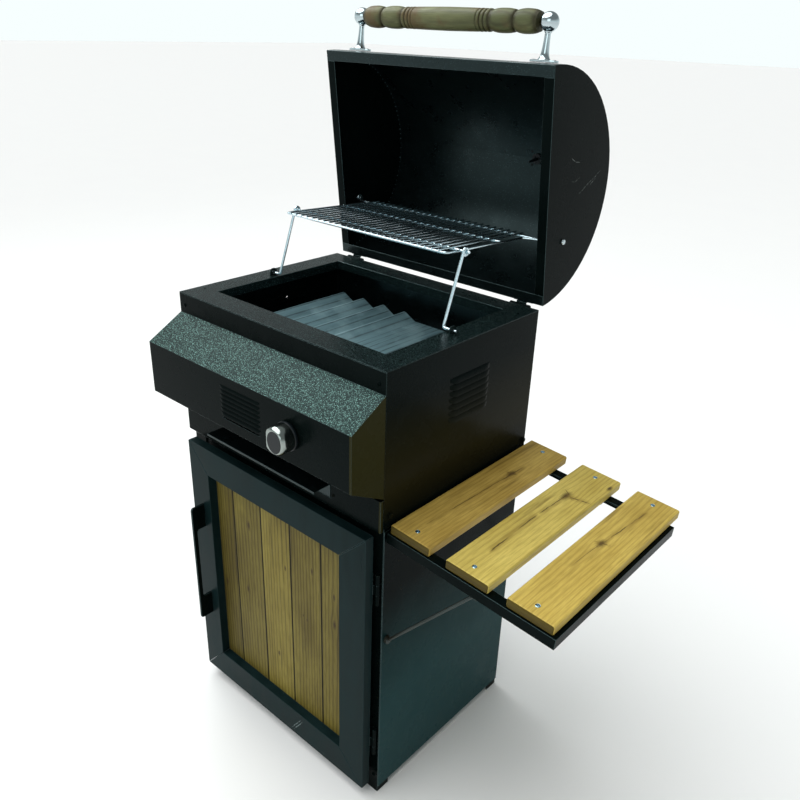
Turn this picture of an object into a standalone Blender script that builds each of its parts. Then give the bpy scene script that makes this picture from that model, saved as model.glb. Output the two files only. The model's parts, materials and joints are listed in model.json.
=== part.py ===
"""Gas barbecue cart: a barrel lid, a firebox with one burner, a closed cabinet and a side shelf.

Metres, +Z up, front towards -Y, floor at z = 0. Every mesh is written in one frame with the
cabinet's middle at x = y = 0. The lid is written closed, and the empty on its hinge swings it open.
"""

import math

import bmesh
import bpy
from mathutils import Matrix, Vector

# Overall sizes
WIDTH = 0.500
DEPTH = 0.386
CABINET_HEIGHT = 0.585
BOX_HEIGHT = 0.266
SHEET = 0.0015
GAP = 0.0003

# Cabinet and door
LEG_FLANGE = 0.030
LEG_THICK = 0.0025
PANEL_CLEARANCE = 0.014
DOOR_THICK = 0.018
DOOR_MEMBER = 0.0570
BOARD_THICK = 0.010
HANDLE_HEIGHT = 0.264
HANDLE_REACH = 0.029

# Firebox and controls
PANEL_REACH = 0.071
PANEL_SLOPE_TOP = 0.0368
PANEL_FACE = 0.095
RIM_LEDGE = 0.0465
RIDGE_PITCH = 0.055
RIDGE_HEIGHT = 0.013
RIDGES = 4
BURNER_RADIUS = 0.0125
KNOB_RADIUS = 0.024
KNOB_LENGTH = 0.0285
STEM_RADIUS = 0.004

# Lid
LID_OPEN_DEG = 83.7
LID_FLANGE = 0.018
HANDLE_ANGLE_DEG = 12.1
HANDLE_STANDOFF = 0.0587
GRIP_RADIUS = 0.0185
BALL_RADIUS = 0.015
BALL_X = 0.804

# Warming rack
RACK_SLOPE_DEG = 2.7
RACK_WIRES = 25
FRAME_WIRE = 0.0021
LONG_WIRE = 0.00175
LEG_WIRE = 0.0025

# Side shelf
SLAT_WIDTH = 0.079
SLAT_PITCH = 0.110
SLAT_THICK = 0.017
SLATS = 3
SHELF_DROOP_DEG = 4.05
RAIL = 0.018
RAIL_THICK = 0.0025
STAY_RADIUS = 0.0028

# Positions that follow from them
HALF = WIDTH / 2
FRONT = -DEPTH / 2
BACK = DEPTH / 2
CAB_X = HALF - 0.002
CAB_FRONT = FRONT + 0.005
CAB_BACK = BACK - 0.006
BOX_BOTTOM = CABINET_HEIGHT + 0.007
BOX_TOP = BOX_BOTTOM + BOX_HEIGHT
LEG_TOP = BOX_BOTTOM - GAP
DOOR_BACK = CAB_FRONT - 0.0116
DOOR_FRONT = DOOR_BACK - DOOR_THICK
DOOR_LEFT = -HALF + 0.0196
DOOR_RIGHT = HALF - 0.0145
DOOR_BOTTOM = 0.026
DOOR_TOP = CABINET_HEIGHT - 0.008
DOOR_AXIS = Vector((HALF - 0.0095, CAB_FRONT - 0.0058, 0))
PANEL_FRONT = FRONT - PANEL_REACH
SLOPE_Z = BOX_TOP - PANEL_SLOPE_TOP
EDGE_Z = SLOPE_Z - 0.0392
FACE_Z = EDGE_Z - PANEL_FACE
KNOB_X = HALF * 0.472
KNOB_Z = BOX_TOP - 0.123
MOUTH_Z = BOX_TOP + 0.002
LID_RADIUS = DEPTH / 2 + 0.0023
LID_X = HALF - 0.002
HINGE = Vector((0, BACK + 0.009, BOX_TOP - 0.005))
HINGE_X = HALF * 0.82
PIVOT = HINGE + Vector((0, -0.2816 * DEPTH, 0.1526 * DEPTH))
RACK_REACH = 0.6373 * DEPTH
PIN_REACH = 0.5417 * DEPTH
RACK_X = HALF - 0.062
SHELF_X = HALF + 0.0036
SLAT_TOP = CABINET_HEIGHT + 0.013
SHELF_END = SHELF_X + SLAT_PITCH * (SLATS - 1) + SLAT_WIDTH + 0.0064

PLANES = {
    "XY": Matrix(((1, 0, 0), (0, 1, 0), (0, 0, 1))),
    "XZ": Matrix(((1, 0, 0), (0, 0, -1), (0, 1, 0))),
    "YZ": Matrix(((0, 0, 1), (1, 0, 0), (0, 1, 0))),
}
NORMALS = {"XY": Vector((0, 0, 1)), "XZ": Vector((0, 1, 0)), "YZ": Vector((1, 0, 0))}
LOOKS = {
    "black paint": ((0.012, 0.015, 0.015, 1), 0.0, 0.35),
    "slate paint": ((0.050, 0.070, 0.072, 1), 0.0, 0.45),
    "pine": ((0.45, 0.32, 0.12, 1), 0.0, 0.55),
    "stained wood": ((0.30, 0.28, 0.17, 1), 0.0, 0.50),
    "chrome": ((0.80, 0.82, 0.84, 1), 1.0, 0.12),
    "zinc steel": ((0.55, 0.57, 0.58, 1), 1.0, 0.35),
    "aluminised steel": ((0.45, 0.50, 0.52, 1), 1.0, 0.45),
    "brass": ((0.70, 0.52, 0.22, 1), 1.0, 0.30),
    "magnet": ((0.06, 0.06, 0.06, 1), 0.0, 0.60),
}


# Building blocks


def clear_scene():
    for item in list(bpy.data.objects):
        bpy.data.objects.remove(item, do_unlink=True)


def collection(name):
    made = bpy.data.collections.new(name)
    bpy.context.scene.collection.children.link(made)
    return made


def look(name):
    found = bpy.data.materials.get(name)
    if found:
        return found
    colour, metallic, roughness = LOOKS[name]
    found = bpy.data.materials.new(name)
    found.use_nodes = True
    shader = found.node_tree.nodes["Principled BSDF"]
    shader.inputs["Base Color"].default_value = colour
    shader.inputs["Metallic"].default_value = metallic
    shader.inputs["Roughness"].default_value = roughness
    found.diffuse_color = colour
    return found


def tidy(mesh):
    """Joins the points that meet and turns every face outwards."""
    shape = bmesh.new()
    shape.from_mesh(mesh)
    bmesh.ops.remove_doubles(shape, verts=shape.verts, dist=1e-6)
    bmesh.ops.recalc_face_normals(shape, faces=shape.faces)
    shape.to_mesh(mesh)
    shape.free()


def solid(name, mesh, smooth=False):
    tidy(mesh)
    if smooth:
        mesh.shade_smooth()
    made = bpy.data.objects.new(name, mesh)
    MAIN.objects.link(made)
    return made


def baked(name, guide, smooth=False):
    """The mesh that a guide object makes, as an object of its own."""
    MAIN.objects.link(guide)
    graph = bpy.context.evaluated_depsgraph_get()
    mesh = bpy.data.meshes.new_from_object(guide.evaluated_get(graph))
    bpy.data.objects.remove(guide)
    mesh.name = name
    return solid(name, mesh, smooth)


def plate(name, outlines, plane, low, high):
    """A flat sheet from low to high along the plane's normal. The outlines after the first are holes."""
    curve = bpy.data.curves.new(name, "CURVE")
    curve.dimensions = "2D"
    curve.fill_mode = "BOTH"
    curve.extrude = (high - low) / 2
    for outline in outlines:
        spline = curve.splines.new("POLY")
        spline.points.add(len(outline) - 1)
        for point, (a, b) in zip(spline.points, outline):
            point.co = (a, b, 0, 1)
        spline.use_cyclic_u = True
    made = baked(name, bpy.data.objects.new(name + "_guide", curve))
    middle = NORMALS[plane] * (low + high) / 2
    made.data.transform(Matrix.Translation(middle) @ PLANES[plane].to_4x4())
    tidy(made.data)
    return made


def wire(name, points, radius, resolution=2, smooth=True):
    """A round bar along the points."""
    curve = bpy.data.curves.new(name, "CURVE")
    curve.dimensions = "3D"
    curve.bevel_depth = radius
    curve.bevel_resolution = resolution
    curve.use_fill_caps = True
    spline = curve.splines.new("POLY")
    spline.points.add(len(points) - 1)
    for point, place in zip(spline.points, points):
        point.co = (*place, 1)
    return baked(name, bpy.data.objects.new(name + "_guide", curve), smooth)


def block(name, low, high):
    shape = bmesh.new()
    bmesh.ops.create_cube(shape, size=1)
    for vert in shape.verts:
        vert.co = [b if c > 0 else a for a, b, c in zip(low, high, vert.co)]
    mesh = bpy.data.meshes.new(name)
    shape.to_mesh(mesh)
    shape.free()
    return solid(name, mesh)


def turned(name, profile, place, steps=24, ring=False):
    """A lathe-turned piece. The profile is (radius, height) pairs; a ring's profile closes on itself."""
    count = len(profile)
    edges = [(i, i + 1) for i in range(count - 1)]
    if ring:
        edges.append((count - 1, 0))
    line = bpy.data.meshes.new(name)
    line.from_pydata([(radius, 0, height) for radius, height in profile], edges, [])
    guide = bpy.data.objects.new(name + "_guide", line)
    screw = guide.modifiers.new("turn", "SCREW")
    screw.steps = screw.render_steps = steps
    screw.use_merge_vertices = True
    screw.merge_threshold = 1e-6
    made = baked(name, guide, smooth=True)
    made.data.transform(place)
    tidy(made.data)
    return made


def along(axis, centre):
    """The matrix that stands a turned piece on centre, pointing along an axis."""
    turn = {
        "X": Matrix.Rotation(math.pi / 2, 4, "Y"),
        "Y": Matrix.Rotation(-math.pi / 2, 4, "X"),
        "Z": Matrix.Identity(4),
    }[axis]
    return Matrix.Translation(centre) @ turn


def rod(name, axis, centre, radius, low, high, steps=24):
    return turned(name, [(0, high), (radius, high), (radius, low), (0, low)], along(axis, centre), steps)


def rect(a0, b0, a1, b1):
    return [(a0, b0), (a1, b0), (a1, b1), (a0, b1)]


def circle(a, b, radius, steps=16):
    return [
        (a + radius * math.cos(i * math.tau / steps), b + radius * math.sin(i * math.tau / steps))
        for i in range(steps)
    ]


def slot(a0, a1, b, height):
    """A long hole with chamfered ends."""
    h = height / 2
    return [
        (a0 + h, b - h), (a1 - h, b - h), (a1, b - h / 2), (a1, b + h / 2),
        (a1 - h, b + h), (a0 + h, b + h), (a0, b + h / 2), (a0, b - h / 2),
    ]


def angle(corner, across, up, flange, thick):
    """The outline of an angle bar whose outer corner is given; across and up are +1 or -1."""
    x, y = corner
    steps = [(0, 0), (flange, 0), (flange, thick), (thick, thick), (thick, flange), (0, flange)]
    return [(x + across * a, y + up * b) for a, b in steps]


def tool(target, helper, operation="DIFFERENCE"):
    """Cuts the helper from the target or adds it, and puts the helper away."""
    modifier = target.modifiers.new(helper.name, "BOOLEAN")
    modifier.operation = operation
    modifier.solver = "EXACT"
    modifier.object = helper
    put_away(target, helper)


def put_away(target, helper):
    MAIN.objects.unlink(helper)
    HELPERS.objects.link(helper)
    helper.hide_render = True
    helper.display_type = "WIRE"
    helper.parent = target


def add(target, *helpers):
    for helper in helpers:
        tool(target, helper, "UNION")


def cut(target, *helpers):
    for helper in helpers:
        tool(target, helper, "DIFFERENCE")


def empty(name, parent, place, turn=None):
    made = bpy.data.objects.new(name, None)
    made.empty_display_size = 0.03
    MAIN.objects.link(made)
    made.parent = parent
    made.location = place
    if turn:
        axis, degrees = turn
        made.rotation_euler["XYZ".index(axis)] = math.radians(degrees)
    return made


def hang(parent, pivot, look_name, *pieces):
    """Parents the pieces to an empty whose place in the frame they were written in is the pivot."""
    for piece in pieces:
        piece.parent = parent
        piece.matrix_parent_inverse = Matrix.Translation(-Vector(pivot))
        piece.data.materials.clear()
        piece.data.materials.append(look(look_name))


def soften(piece, width):
    modifier = piece.modifiers.new("edges", "BEVEL")
    modifier.width = width
    modifier.segments = 2
    modifier.limit_method = "ANGLE"


def mirrored(name, piece):
    """The same piece on the other side of the middle, for one made without helpers."""
    mesh = piece.data.copy()
    mesh.transform(Matrix.Scale(-1, 4, (1, 0, 0)))
    return solid(name, mesh)


# Cabinet


def cabinet_legs():
    made = []
    for front, y, up in (("front", CAB_FRONT, 1), ("rear", CAB_BACK, -1)):
        for side, across in (("left", 1), ("right", -1)):
            corner = (-across * (CAB_X - SHEET - GAP), y)
            outline = angle(corner, across, up, LEG_FLANGE, LEG_THICK)
            made.append(plate(f"cabinet_leg_{front}_{side}", [outline], "XY", 0, LEG_TOP))
    return made


def cabinet_sides():
    outline = rect(CAB_FRONT, PANEL_CLEARANCE, CAB_BACK, CABINET_HEIGHT - 0.001)
    right = plate("cabinet_side_right", [outline], "YZ", CAB_X - SHEET, CAB_X)
    left = plate("cabinet_side_left", [outline], "YZ", -CAB_X, SHEET - CAB_X)
    return [left, right]


def inner_box():
    """The space inside the four legs: half width, front and back."""
    x = CAB_X - SHEET - 2 * GAP - LEG_THICK
    return x, CAB_FRONT + LEG_THICK + GAP, CAB_BACK - LEG_THICK - GAP


def cabinet_inside():
    x, front, back = inner_box()
    rear = plate("cabinet_back", [rect(-x, 0.05, x, CABINET_HEIGHT - 0.026)], "XZ", back - SHEET, back)
    back -= SHEET + GAP
    fold = [
        (front, 0.030), (front + SHEET, 0.030), (front + SHEET, 0.048), (back - SHEET, 0.048),
        (back - SHEET, 0.030), (back, 0.030), (back, 0.0495), (front, 0.0495),
    ]
    floor = plate("cabinet_floor", [fold], "YZ", -x, x)
    top = CABINET_HEIGHT
    outer = rect(-x, front, x, back + SHEET + GAP)
    hole = rect(-x + 0.022, front + 0.022, x - 0.022, back - 0.020)
    frame = plate("cabinet_top_frame", [outer, hole], "XY", top - 0.025, top)
    back += SHEET + GAP
    low = (-x + LEG_THICK, front + LEG_THICK, top - 0.03)
    cut(frame, block("top_frame_cut", low, (x - LEG_THICK, back - LEG_THICK, top - LEG_THICK)))
    return [rear, floor, frame]


# Door


def door_frame():
    outer = rect(DOOR_LEFT, DOOR_BOTTOM, DOOR_RIGHT, DOOR_TOP)
    m = DOOR_MEMBER
    hole = rect(
        DOOR_LEFT + m - 0.0025, DOOR_BOTTOM + m + 0.0025, DOOR_RIGHT - m - 0.0025, DOOR_TOP - m
    )
    frame = plate("door_frame", [outer, hole], "XZ", DOOR_FRONT, DOOR_BACK)
    soften(frame, 0.0012)
    return frame


def door_boards():
    edges = [-HALF * 0.744] + [HALF * (-0.508 + 0.32 * i) for i in range(4)] + [HALF * 0.744]
    low = DOOR_BOTTOM + DOOR_MEMBER - 0.0075
    high = DOOR_TOP - DOOR_MEMBER + 0.0100
    front = DOOR_BACK + GAP
    made = []
    for i, (left, right) in enumerate(zip(edges, edges[1:])):
        left += GAP / 2
        right -= GAP / 2
        back = front + BOARD_THICK
        outline = [
            (left, back), (left, front + 0.0015), (left + 0.0015, front),
            (right - 0.0015, front), (right, front + 0.0015), (right, back),
        ]
        made.append(plate(f"door_board_{i + 1}", [outline], "XY", low, high))
    return made


def door_handle():
    middle = (DOOR_BOTTOM + DOOR_TOP) / 2 + 0.0155
    low, high = middle - HANDLE_HEIGHT / 2, middle + HANDLE_HEIGHT / 2
    back = DOOR_FRONT - GAP
    front = back - HANDLE_REACH
    inner = front + 0.009
    outline = [
        (back, low), (back, low + 0.052), (inner + 0.003, low + 0.052), (inner, low + 0.055),
        (inner, high - 0.055), (inner + 0.003, high - 0.052), (back, high - 0.052), (back, high),
        (front + 0.005, high), (front + 0.0015, high - 0.0015), (front, high - 0.005),
        (front, low + 0.005), (front + 0.0015, low + 0.0015), (front + 0.005, low),
    ]
    x = DOOR_LEFT + 0.0304
    return plate("door_handle", [outline], "YZ", x, x + 0.004)


def door_hinge(name, middle):
    """The door's leaf with one knuckle, and the cabinet's leaf with two knuckles and the pin."""
    x, y = DOOR_AXIS.x, DOOR_AXIS.y
    leaf_y = DOOR_BACK + GAP
    low, high = middle - 0.03, middle + 0.03
    corners = (x - 0.0355, leaf_y, low), (x - 0.0055, leaf_y + 0.002, high)
    moving = block(f"door_hinge_leaf_{name}", *corners)
    arm = [
        (x - 0.0075, leaf_y + 0.0003), (x - 0.001, leaf_y + 0.0018),
        (x - 0.001, leaf_y + 0.0036), (x - 0.0075, leaf_y + 0.0018),
    ]
    add(moving, plate(name + "_door_arm", [arm], "XY", middle - 0.0098, middle + 0.0098))
    add(moving, rod(name + "_door_barrel", "Z", (x, y, 0), 0.0040, middle - 0.0098, middle + 0.0098, 16))
    cut(moving, rod(name + "_pin_hole", "Z", (x, y, 0), 0.0022, middle - 0.02, middle + 0.02, 16))
    fixed_y = CAB_FRONT - GAP
    corners = (x - 0.0185, fixed_y - 0.002, low), (x - 0.0045, fixed_y, high)
    fixed = block(f"cabinet_hinge_leaf_{name}", *corners)
    for tag, low, high in (("a", low, middle - 0.0102), ("b", middle + 0.0102, high)):
        corners = (x - 0.006, fixed_y - 0.0022, low), (x + 0.001, fixed_y - 0.0002, high)
        add(fixed, block(f"{name}_arm_{tag}", *corners))
        add(fixed, rod(f"{name}_knuckle_{tag}", "Z", (x, y, 0), 0.0040, low, high, 16))
    add(fixed, rod(name + "_pin", "Z", (x, y, 0), 0.0018, middle - 0.025, middle + 0.025, 16))
    return moving, fixed


def door_magnet():
    x = -CAB_X + 0.0195
    z = CABINET_HEIGHT * 0.75
    low = (x, DOOR_BACK + 0.0009, z - 0.02)
    return block("door_magnet", low, (x + 0.010, CAB_FRONT - GAP, z + 0.02))


# Firebox


def side_louvres():
    return [slot(-0.044, 0.054, BOX_BOTTOM + 0.134 + i * 0.0115, 0.0045) for i in range(7)]


def firebox_side(name, side):
    outline = rect(FRONT, BOX_BOTTOM, BACK, BOX_TOP - 0.0018)
    low, high = sorted((side * (HALF - SHEET), side * HALF))
    sheet = plate(name, [outline] + side_louvres(), "YZ", low, high)
    inner = side * (HALF - 0.053)
    low, high = sorted((side * (HALF - 0.001), inner))
    top = BOX_TOP - 0.0718
    add(sheet, block(name + "_ledge", (low, FRONT + 0.045, top - SHEET), (high, BACK - 0.045, top)))
    return sheet


def firebox_back():
    x = HALF - SHEET - GAP
    outline = rect(-x, BOX_BOTTOM, x, BOX_TOP - 0.0018)
    sheet = plate("firebox_back", [outline], "XZ", BACK - SHEET, BACK)
    z = KNOB_Z - BURNER_RADIUS - GAP
    ledge = block("burner_ledge", (-0.03, FRONT + 0.333, z - 0.003), (0.03, BACK - 0.001, z))
    add(sheet, ledge)
    return sheet


def firebox_front():
    x = HALF - SHEET - GAP
    outline = rect(-x, BOX_BOTTOM + 0.0535, x, BOX_TOP - 0.0018)
    hole = circle(KNOB_X, KNOB_Z, 0.015, 20)
    return plate("firebox_front", [outline, hole], "XZ", FRONT + GAP, FRONT + GAP + SHEET)


def firebox_base():
    x = HALF - SHEET - GAP
    outline = rect(-x, FRONT + GAP, x, BACK - SHEET - GAP)
    hole = rect(-x + 0.048, FRONT + 0.053, x - 0.048, BACK - 0.053)
    return plate("firebox_base", [outline, hole], "XY", BOX_BOTTOM, BOX_BOTTOM + SHEET)


def rack_ear(name, side, foot):
    """The upright tab on the rim that carries the foot of a rack leg."""
    y, z = foot.y, foot.z
    low, high = sorted((side * (HALF - 0.0335), side * (HALF - 0.0315)))
    outline = [(y - 0.009, BOX_TOP - 0.001), (y + 0.009, BOX_TOP - 0.001), (y + 0.007, z + 0.006)]
    outline += [(y + 0.003, z + 0.0080), (y - 0.003, z + 0.0080), (y - 0.007, z + 0.006)]
    return plate(name, [outline, circle(y, z, 0.0032, 12)], "YZ", low, high)


def firebox_rim(foot):
    x = HALF - RIM_LEDGE
    front, back = FRONT + RIM_LEDGE + 0.0005, BACK - RIM_LEDGE + 0.0045
    outline = rect(-HALF, FRONT - 0.0015, HALF, BACK)
    mid = SHEET / 2
    hole = rect(-x - mid, front - mid, x + mid, back + mid)
    rim = plate("firebox_rim", [outline, hole], "XY", BOX_TOP - SHEET, BOX_TOP)
    t = SHEET
    lip = [rect(-x - t, front - t, x + t, back + t), rect(-x, front, x, back)]
    add(rim, plate("rim_lip", lip, "XY", BOX_TOP - 0.016, BOX_TOP - GAP))
    add(rim, rack_ear("rim_ear_left", -1, foot), rack_ear("rim_ear_right", 1, foot))
    return rim


def control_panel():
    rear = FRONT - GAP
    face = PANEL_FRONT
    low = BOX_BOTTOM + 0.0556
    outer = [
        (rear, low), (rear, BOX_TOP - 0.0018), (rear - SHEET, BOX_TOP - 0.0018),
        (rear - SHEET, SLOPE_Z), (face, EDGE_Z), (face, FACE_Z),
    ]
    hood = plate("control_panel", [outer], "YZ", -HALF, HALF)
    t = SHEET
    inner = [
        (rear + 0.01, low - 0.05), (rear + 0.01, SLOPE_Z - 0.0018), (rear - t, SLOPE_Z - 0.0018),
        (face + t, EDGE_Z - 0.0009), (face + t, low - 0.05),
    ]
    cut(hood, plate("panel_inside", [inner], "YZ", t - HALF, HALF - t))
    holes = [slot(-0.047, 0.047, FACE_Z + 0.0195 + i * 0.008, 0.0032) for i in range(7)]
    for i, outline in enumerate(holes):
        cut(hood, plate(f"panel_louvre_{i + 1}", [outline], "XZ", face - 0.005, face + 0.005))
    cut(hood, rod("stem_hole", "Y", (KNOB_X, 0, KNOB_Z), 0.0065, face - 0.005, face + 0.005, 20))
    return hood


def tray_surround():
    x = HALF - 0.0005
    y = FRONT - 0.007
    low, high = BOX_BOTTOM - 0.004, BOX_BOTTOM + 0.053
    hole = rect(-HALF * 0.562, BOX_BOTTOM + 0.012, HALF * 0.562, BOX_BOTTOM + 0.0405)
    sheet = plate("tray_surround", [rect(-x, low, x, high), hole], "XZ", y, y + SHEET)
    for name, side in (("left", -1), ("right", 1)):
        a, b = sorted((side * x, side * (x - SHEET)))
        add(sheet, block(f"surround_fold_{name}", (a, y + 0.0005, low), (b, FRONT - GAP, high)))
    return sheet


def drip_tray():
    x = HALF * 0.556
    low, high = BOX_BOTTOM + 0.0135, BOX_BOTTOM + 0.0385
    front, back = FRONT - 0.0075, BACK - 0.038
    tray = block("drip_tray", (-x, front, low), (x, back, high))
    corners = (SHEET - x, front + SHEET, low + SHEET), (x - SHEET, back - SHEET, high + 0.01)
    cut(tray, block("tray_inside", *corners))
    edge = FRONT - 0.0425
    lip = [
        (front + 0.001, high - SHEET), (front + 0.001, high), (edge, high), (edge, high - 0.004),
        (edge + SHEET, high - 0.004), (edge + SHEET, high - SHEET),
    ]
    add(tray, plate("tray_lip", [lip], "YZ", -x, x))
    return tray


def tray_runners():
    x = HALF * 0.562
    low, shelf = BOX_BOTTOM + SHEET + GAP, BOX_BOTTOM + 0.0135 - GAP
    outline = [
        (x, low), (x + SHEET, low), (x + SHEET, low + 0.034), (x, low + 0.034),
        (x, shelf), (x - 0.0125, shelf), (x - 0.0125, shelf - SHEET), (x, shelf - SHEET),
    ]
    right = plate("tray_runner_right", [outline], "XZ", FRONT + 0.003, BACK - 0.003)
    return [mirrored("tray_runner_left", right), right]


def heat_plate():
    z = BOX_TOP - 0.0715
    left = -HALF + 0.0465
    upper = [(left, z + SHEET)]
    lower = [(left, z)]
    for i in range(RIDGES):
        crest = left + (i + 0.5) * RIDGE_PITCH
        valley = left + (i + 1) * RIDGE_PITCH
        for line, lift in ((upper, SHEET), (lower, 0)):
            line += [(crest - 0.002, z + lift + RIDGE_HEIGHT), (crest + 0.002, z + lift + RIDGE_HEIGHT)]
            line += [(valley - 0.002, z + lift), (valley + 0.002, z + lift)]
    right = HALF - 0.0465
    outline = upper + [(right, z + SHEET), (right, z)] + lower[::-1]
    return plate("heat_plate", [outline], "XZ", FRONT + 0.053, BACK - 0.052)


def burner_tube():
    x = KNOB_X
    middle = FRONT + 0.223
    bend = [Vector((x * math.cos(t), middle + x * math.sin(t), KNOB_Z)) for t in fractions(math.pi, 12)]
    points = [Vector((x, FRONT - 0.012, KNOB_Z))] + bend + [Vector((-x, FRONT + 0.06, KNOB_Z))]
    tube = wire("burner_tube", points, BURNER_RADIUS, 4)
    cut(tube, rod("burner_bore", "Y", (KNOB_X, 0, KNOB_Z), 0.0105, FRONT - 0.02, FRONT + 0.08, 20))
    return tube


def fractions(whole, count):
    return [whole * i / count for i in range(count + 1)]


def gas_valve():
    """The valve body with its nozzle, and the inlet fitting that points down."""
    place = along("Y", (KNOB_X, PANEL_FRONT, KNOB_Z))
    profile = [
        (0, 0.072), (0.004, 0.072), (0.004, 0.048), (0.009, 0.046), (0.014, 0.044), (0.014, 0.010),
        (0.009, 0.008), (0.009, 0.0018), (0.0044, 0.0018), (0.0044, 0.030), (0, 0.030),
    ]
    valve = turned("gas_valve", profile, place)
    inlet = [
        (0, 0), (0.0035, 0), (0.0035, -0.018), (0.0085, -0.018), (0.0085, -0.028), (0.0045, -0.028),
        (0.0050, -0.034), (0.0040, -0.040), (0.0050, -0.042), (0.0040, -0.049), (0, -0.049),
    ]
    low = (KNOB_X, PANEL_FRONT + 0.036, KNOB_Z - 0.0075)
    add(valve, turned("inlet_fitting", inlet, along("Z", low), 16))
    return valve


def valve_stem():
    return rod("valve_stem", "Y", (KNOB_X, PANEL_FRONT, KNOB_Z), STEM_RADIUS, -0.0195, 0.0260, 20)


def control_knob():
    """A round knob on a skirt, flat on its left side."""
    back = -0.0035
    front = back - KNOB_LENGTH
    r = KNOB_RADIUS
    bore, depth = STEM_RADIUS + GAP, back - 0.0163
    profile = [
        (0, front + 0.001), (r - 0.008, front), (r - 0.004, front + 0.002),
        (r - 0.002, front + 0.012), (r - 0.0015, back - 0.004), (r, back - 0.003),
        (r, back), (bore, back), (bore, depth), (0, depth),
    ]
    knob = turned("control_knob", profile, along("Y", (KNOB_X, PANEL_FRONT, KNOB_Z)), 32)
    low = (KNOB_X - r - 0.01, PANEL_FRONT + front - 0.01, KNOB_Z - r - 0.01)
    high = (KNOB_X - r * 0.66, PANEL_FRONT + back - 0.0045, KNOB_Z + r + 0.01)
    cut(knob, block("knob_flat", low, high))
    return knob


# Lid, written closed


def arc(radius, start, end, count):
    """Points of the lid's section, counted from its front edge over the top."""
    made = []
    for i in range(count + 1):
        t = math.radians(start + (end - start) * i / count)
        made.append((-radius * math.cos(t), MOUTH_Z + radius * math.sin(t)))
    return made


def lid_shell():
    r, t = LID_RADIUS, SHEET
    start = math.degrees(math.asin(t / (r - t)))
    outline = arc(r, 0, 180, 36)
    outline += [(r - LID_FLANGE, MOUTH_Z), (r - LID_FLANGE, MOUTH_Z + t)]
    outline += arc(r - t, 180 - start, start, 36)
    outline += [(LID_FLANGE - r, MOUTH_Z + t), (LID_FLANGE - r, MOUTH_Z)]
    x = LID_X - SHEET - GAP
    shell = plate("lid_shell", [outline], "YZ", -x, x)
    shell.data.shade_smooth()
    shell.data.set_sharp_from_angle(angle=math.radians(30))
    hole = rod("gauge_hole", "Z", (GAUGE_X, 0, 0), 0.0065, MOUTH_Z + r - 0.01, MOUTH_Z + r + 0.01, 16)
    cut(shell, hole)
    return shell


def lid_end(name, side):
    r = LID_RADIUS
    low, high = sorted((side * (LID_X - SHEET), side * LID_X))
    hole = circle(PIVOT.y, PIVOT.z, 0.0028, 12)
    end = plate(name, [arc(r, 0, 180, 36), hole], "YZ", low, high)
    edge = side * (LID_X - LID_FLANGE)
    low, high = sorted((edge, side * (LID_X - 0.0005)))
    y = r - LID_FLANGE - GAP
    add(end, block(name + "_flange", (low, -y, MOUTH_Z), (high, y, MOUTH_Z + SHEET)))
    return end


def handle_place():
    """The matrix of a post's foot on the lid: its Z points away from the lid's middle line."""
    t = math.radians(HANDLE_ANGLE_DEG)
    turn = Matrix.Rotation(math.pi / 2 - t, 4, "X")
    return Matrix.Translation((0, 0, MOUTH_Z)) @ turn


def lid_handle_post(name, side):
    place = handle_place() @ Matrix.Translation((side * HALF * BALL_X, 0, LID_RADIUS))
    reach = HANDLE_STANDOFF
    foot = [(0.011 * a, 0.026 * b) for a, b in circle(0, 0, 1, 20)]
    post = plate(name, [[(b, a) for a, b in foot]], "XY", 0.0008, 0.0040)
    post.data.transform(place)
    stem = [
        (0, reach - 0.004), (0.0048, reach - 0.004), (0.0060, 0.014),
        (0.0085, 0.0055), (0.0098, 0.0030), (0, 0.0030),
    ]
    add(post, turned(name + "_stem", stem, place, 20))
    ball = [(0, BALL_RADIUS)]
    ball += [(BALL_RADIUS * math.sin(t), BALL_RADIUS * math.cos(t)) for t in fractions(math.pi, 12)[1:-1]]
    ball += [(0, -BALL_RADIUS)]
    top = place @ Matrix.Translation((0, 0, reach))
    add(post, turned(name + "_ball", ball, top, 24))
    stud = [(0, 0.034), (0.004, 0.034), (0.004, 0), (0, 0)]
    inward = top @ Matrix.Rotation(-side * math.pi / 2, 4, "Y")
    add(post, turned(name + "_stud", stud, inward, 16))
    return post


def lid_handle_grip():
    """Turned wood: a long middle, beads, a barrel and an end barrel on each side, bored for the studs."""
    end = HALF * BALL_X - BALL_RADIUS - GAP
    r = GRIP_RADIUS
    half = [
        (1.00, 0), (0.985, 0.33), (0.965, 0.355), (0.90, 0.372), (0.90, 0.378), (0.96, 0.384),
        (0.96, 0.402), (0.84, 0.412), (0.95, 0.426), (0.95, 0.446), (0.84, 0.456), (0.95, 0.470),
        (0.95, 0.490), (0.84, 0.506), (0.90, 0.528), (1.00, 0.60), (0.99, 0.68), (0.90, 0.742),
        (0.78, 0.764), (0.90, 0.786), (1.00, 0.85), (0.95, 0.94), (0.78, 1.0),
    ]
    side = [(r * a, end * b) for a, b in half]
    bore = [(0.0044, end), (0.0044, end - 0.0205)]
    profile = [(0, end - 0.0205)] + bore[::-1] + side[::-1]
    profile += [(a, -b) for a, b in side[1:]]
    profile += [(0.0044, -end), (0.0044, 0.0205 - end), (0, 0.0205 - end)]
    place = handle_place() @ Matrix.Translation((0, 0, LID_RADIUS + HANDLE_STANDOFF))
    return turned("lid_handle_grip", profile, place @ Matrix.Rotation(math.pi / 2, 4, "Y"), 28)


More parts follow.
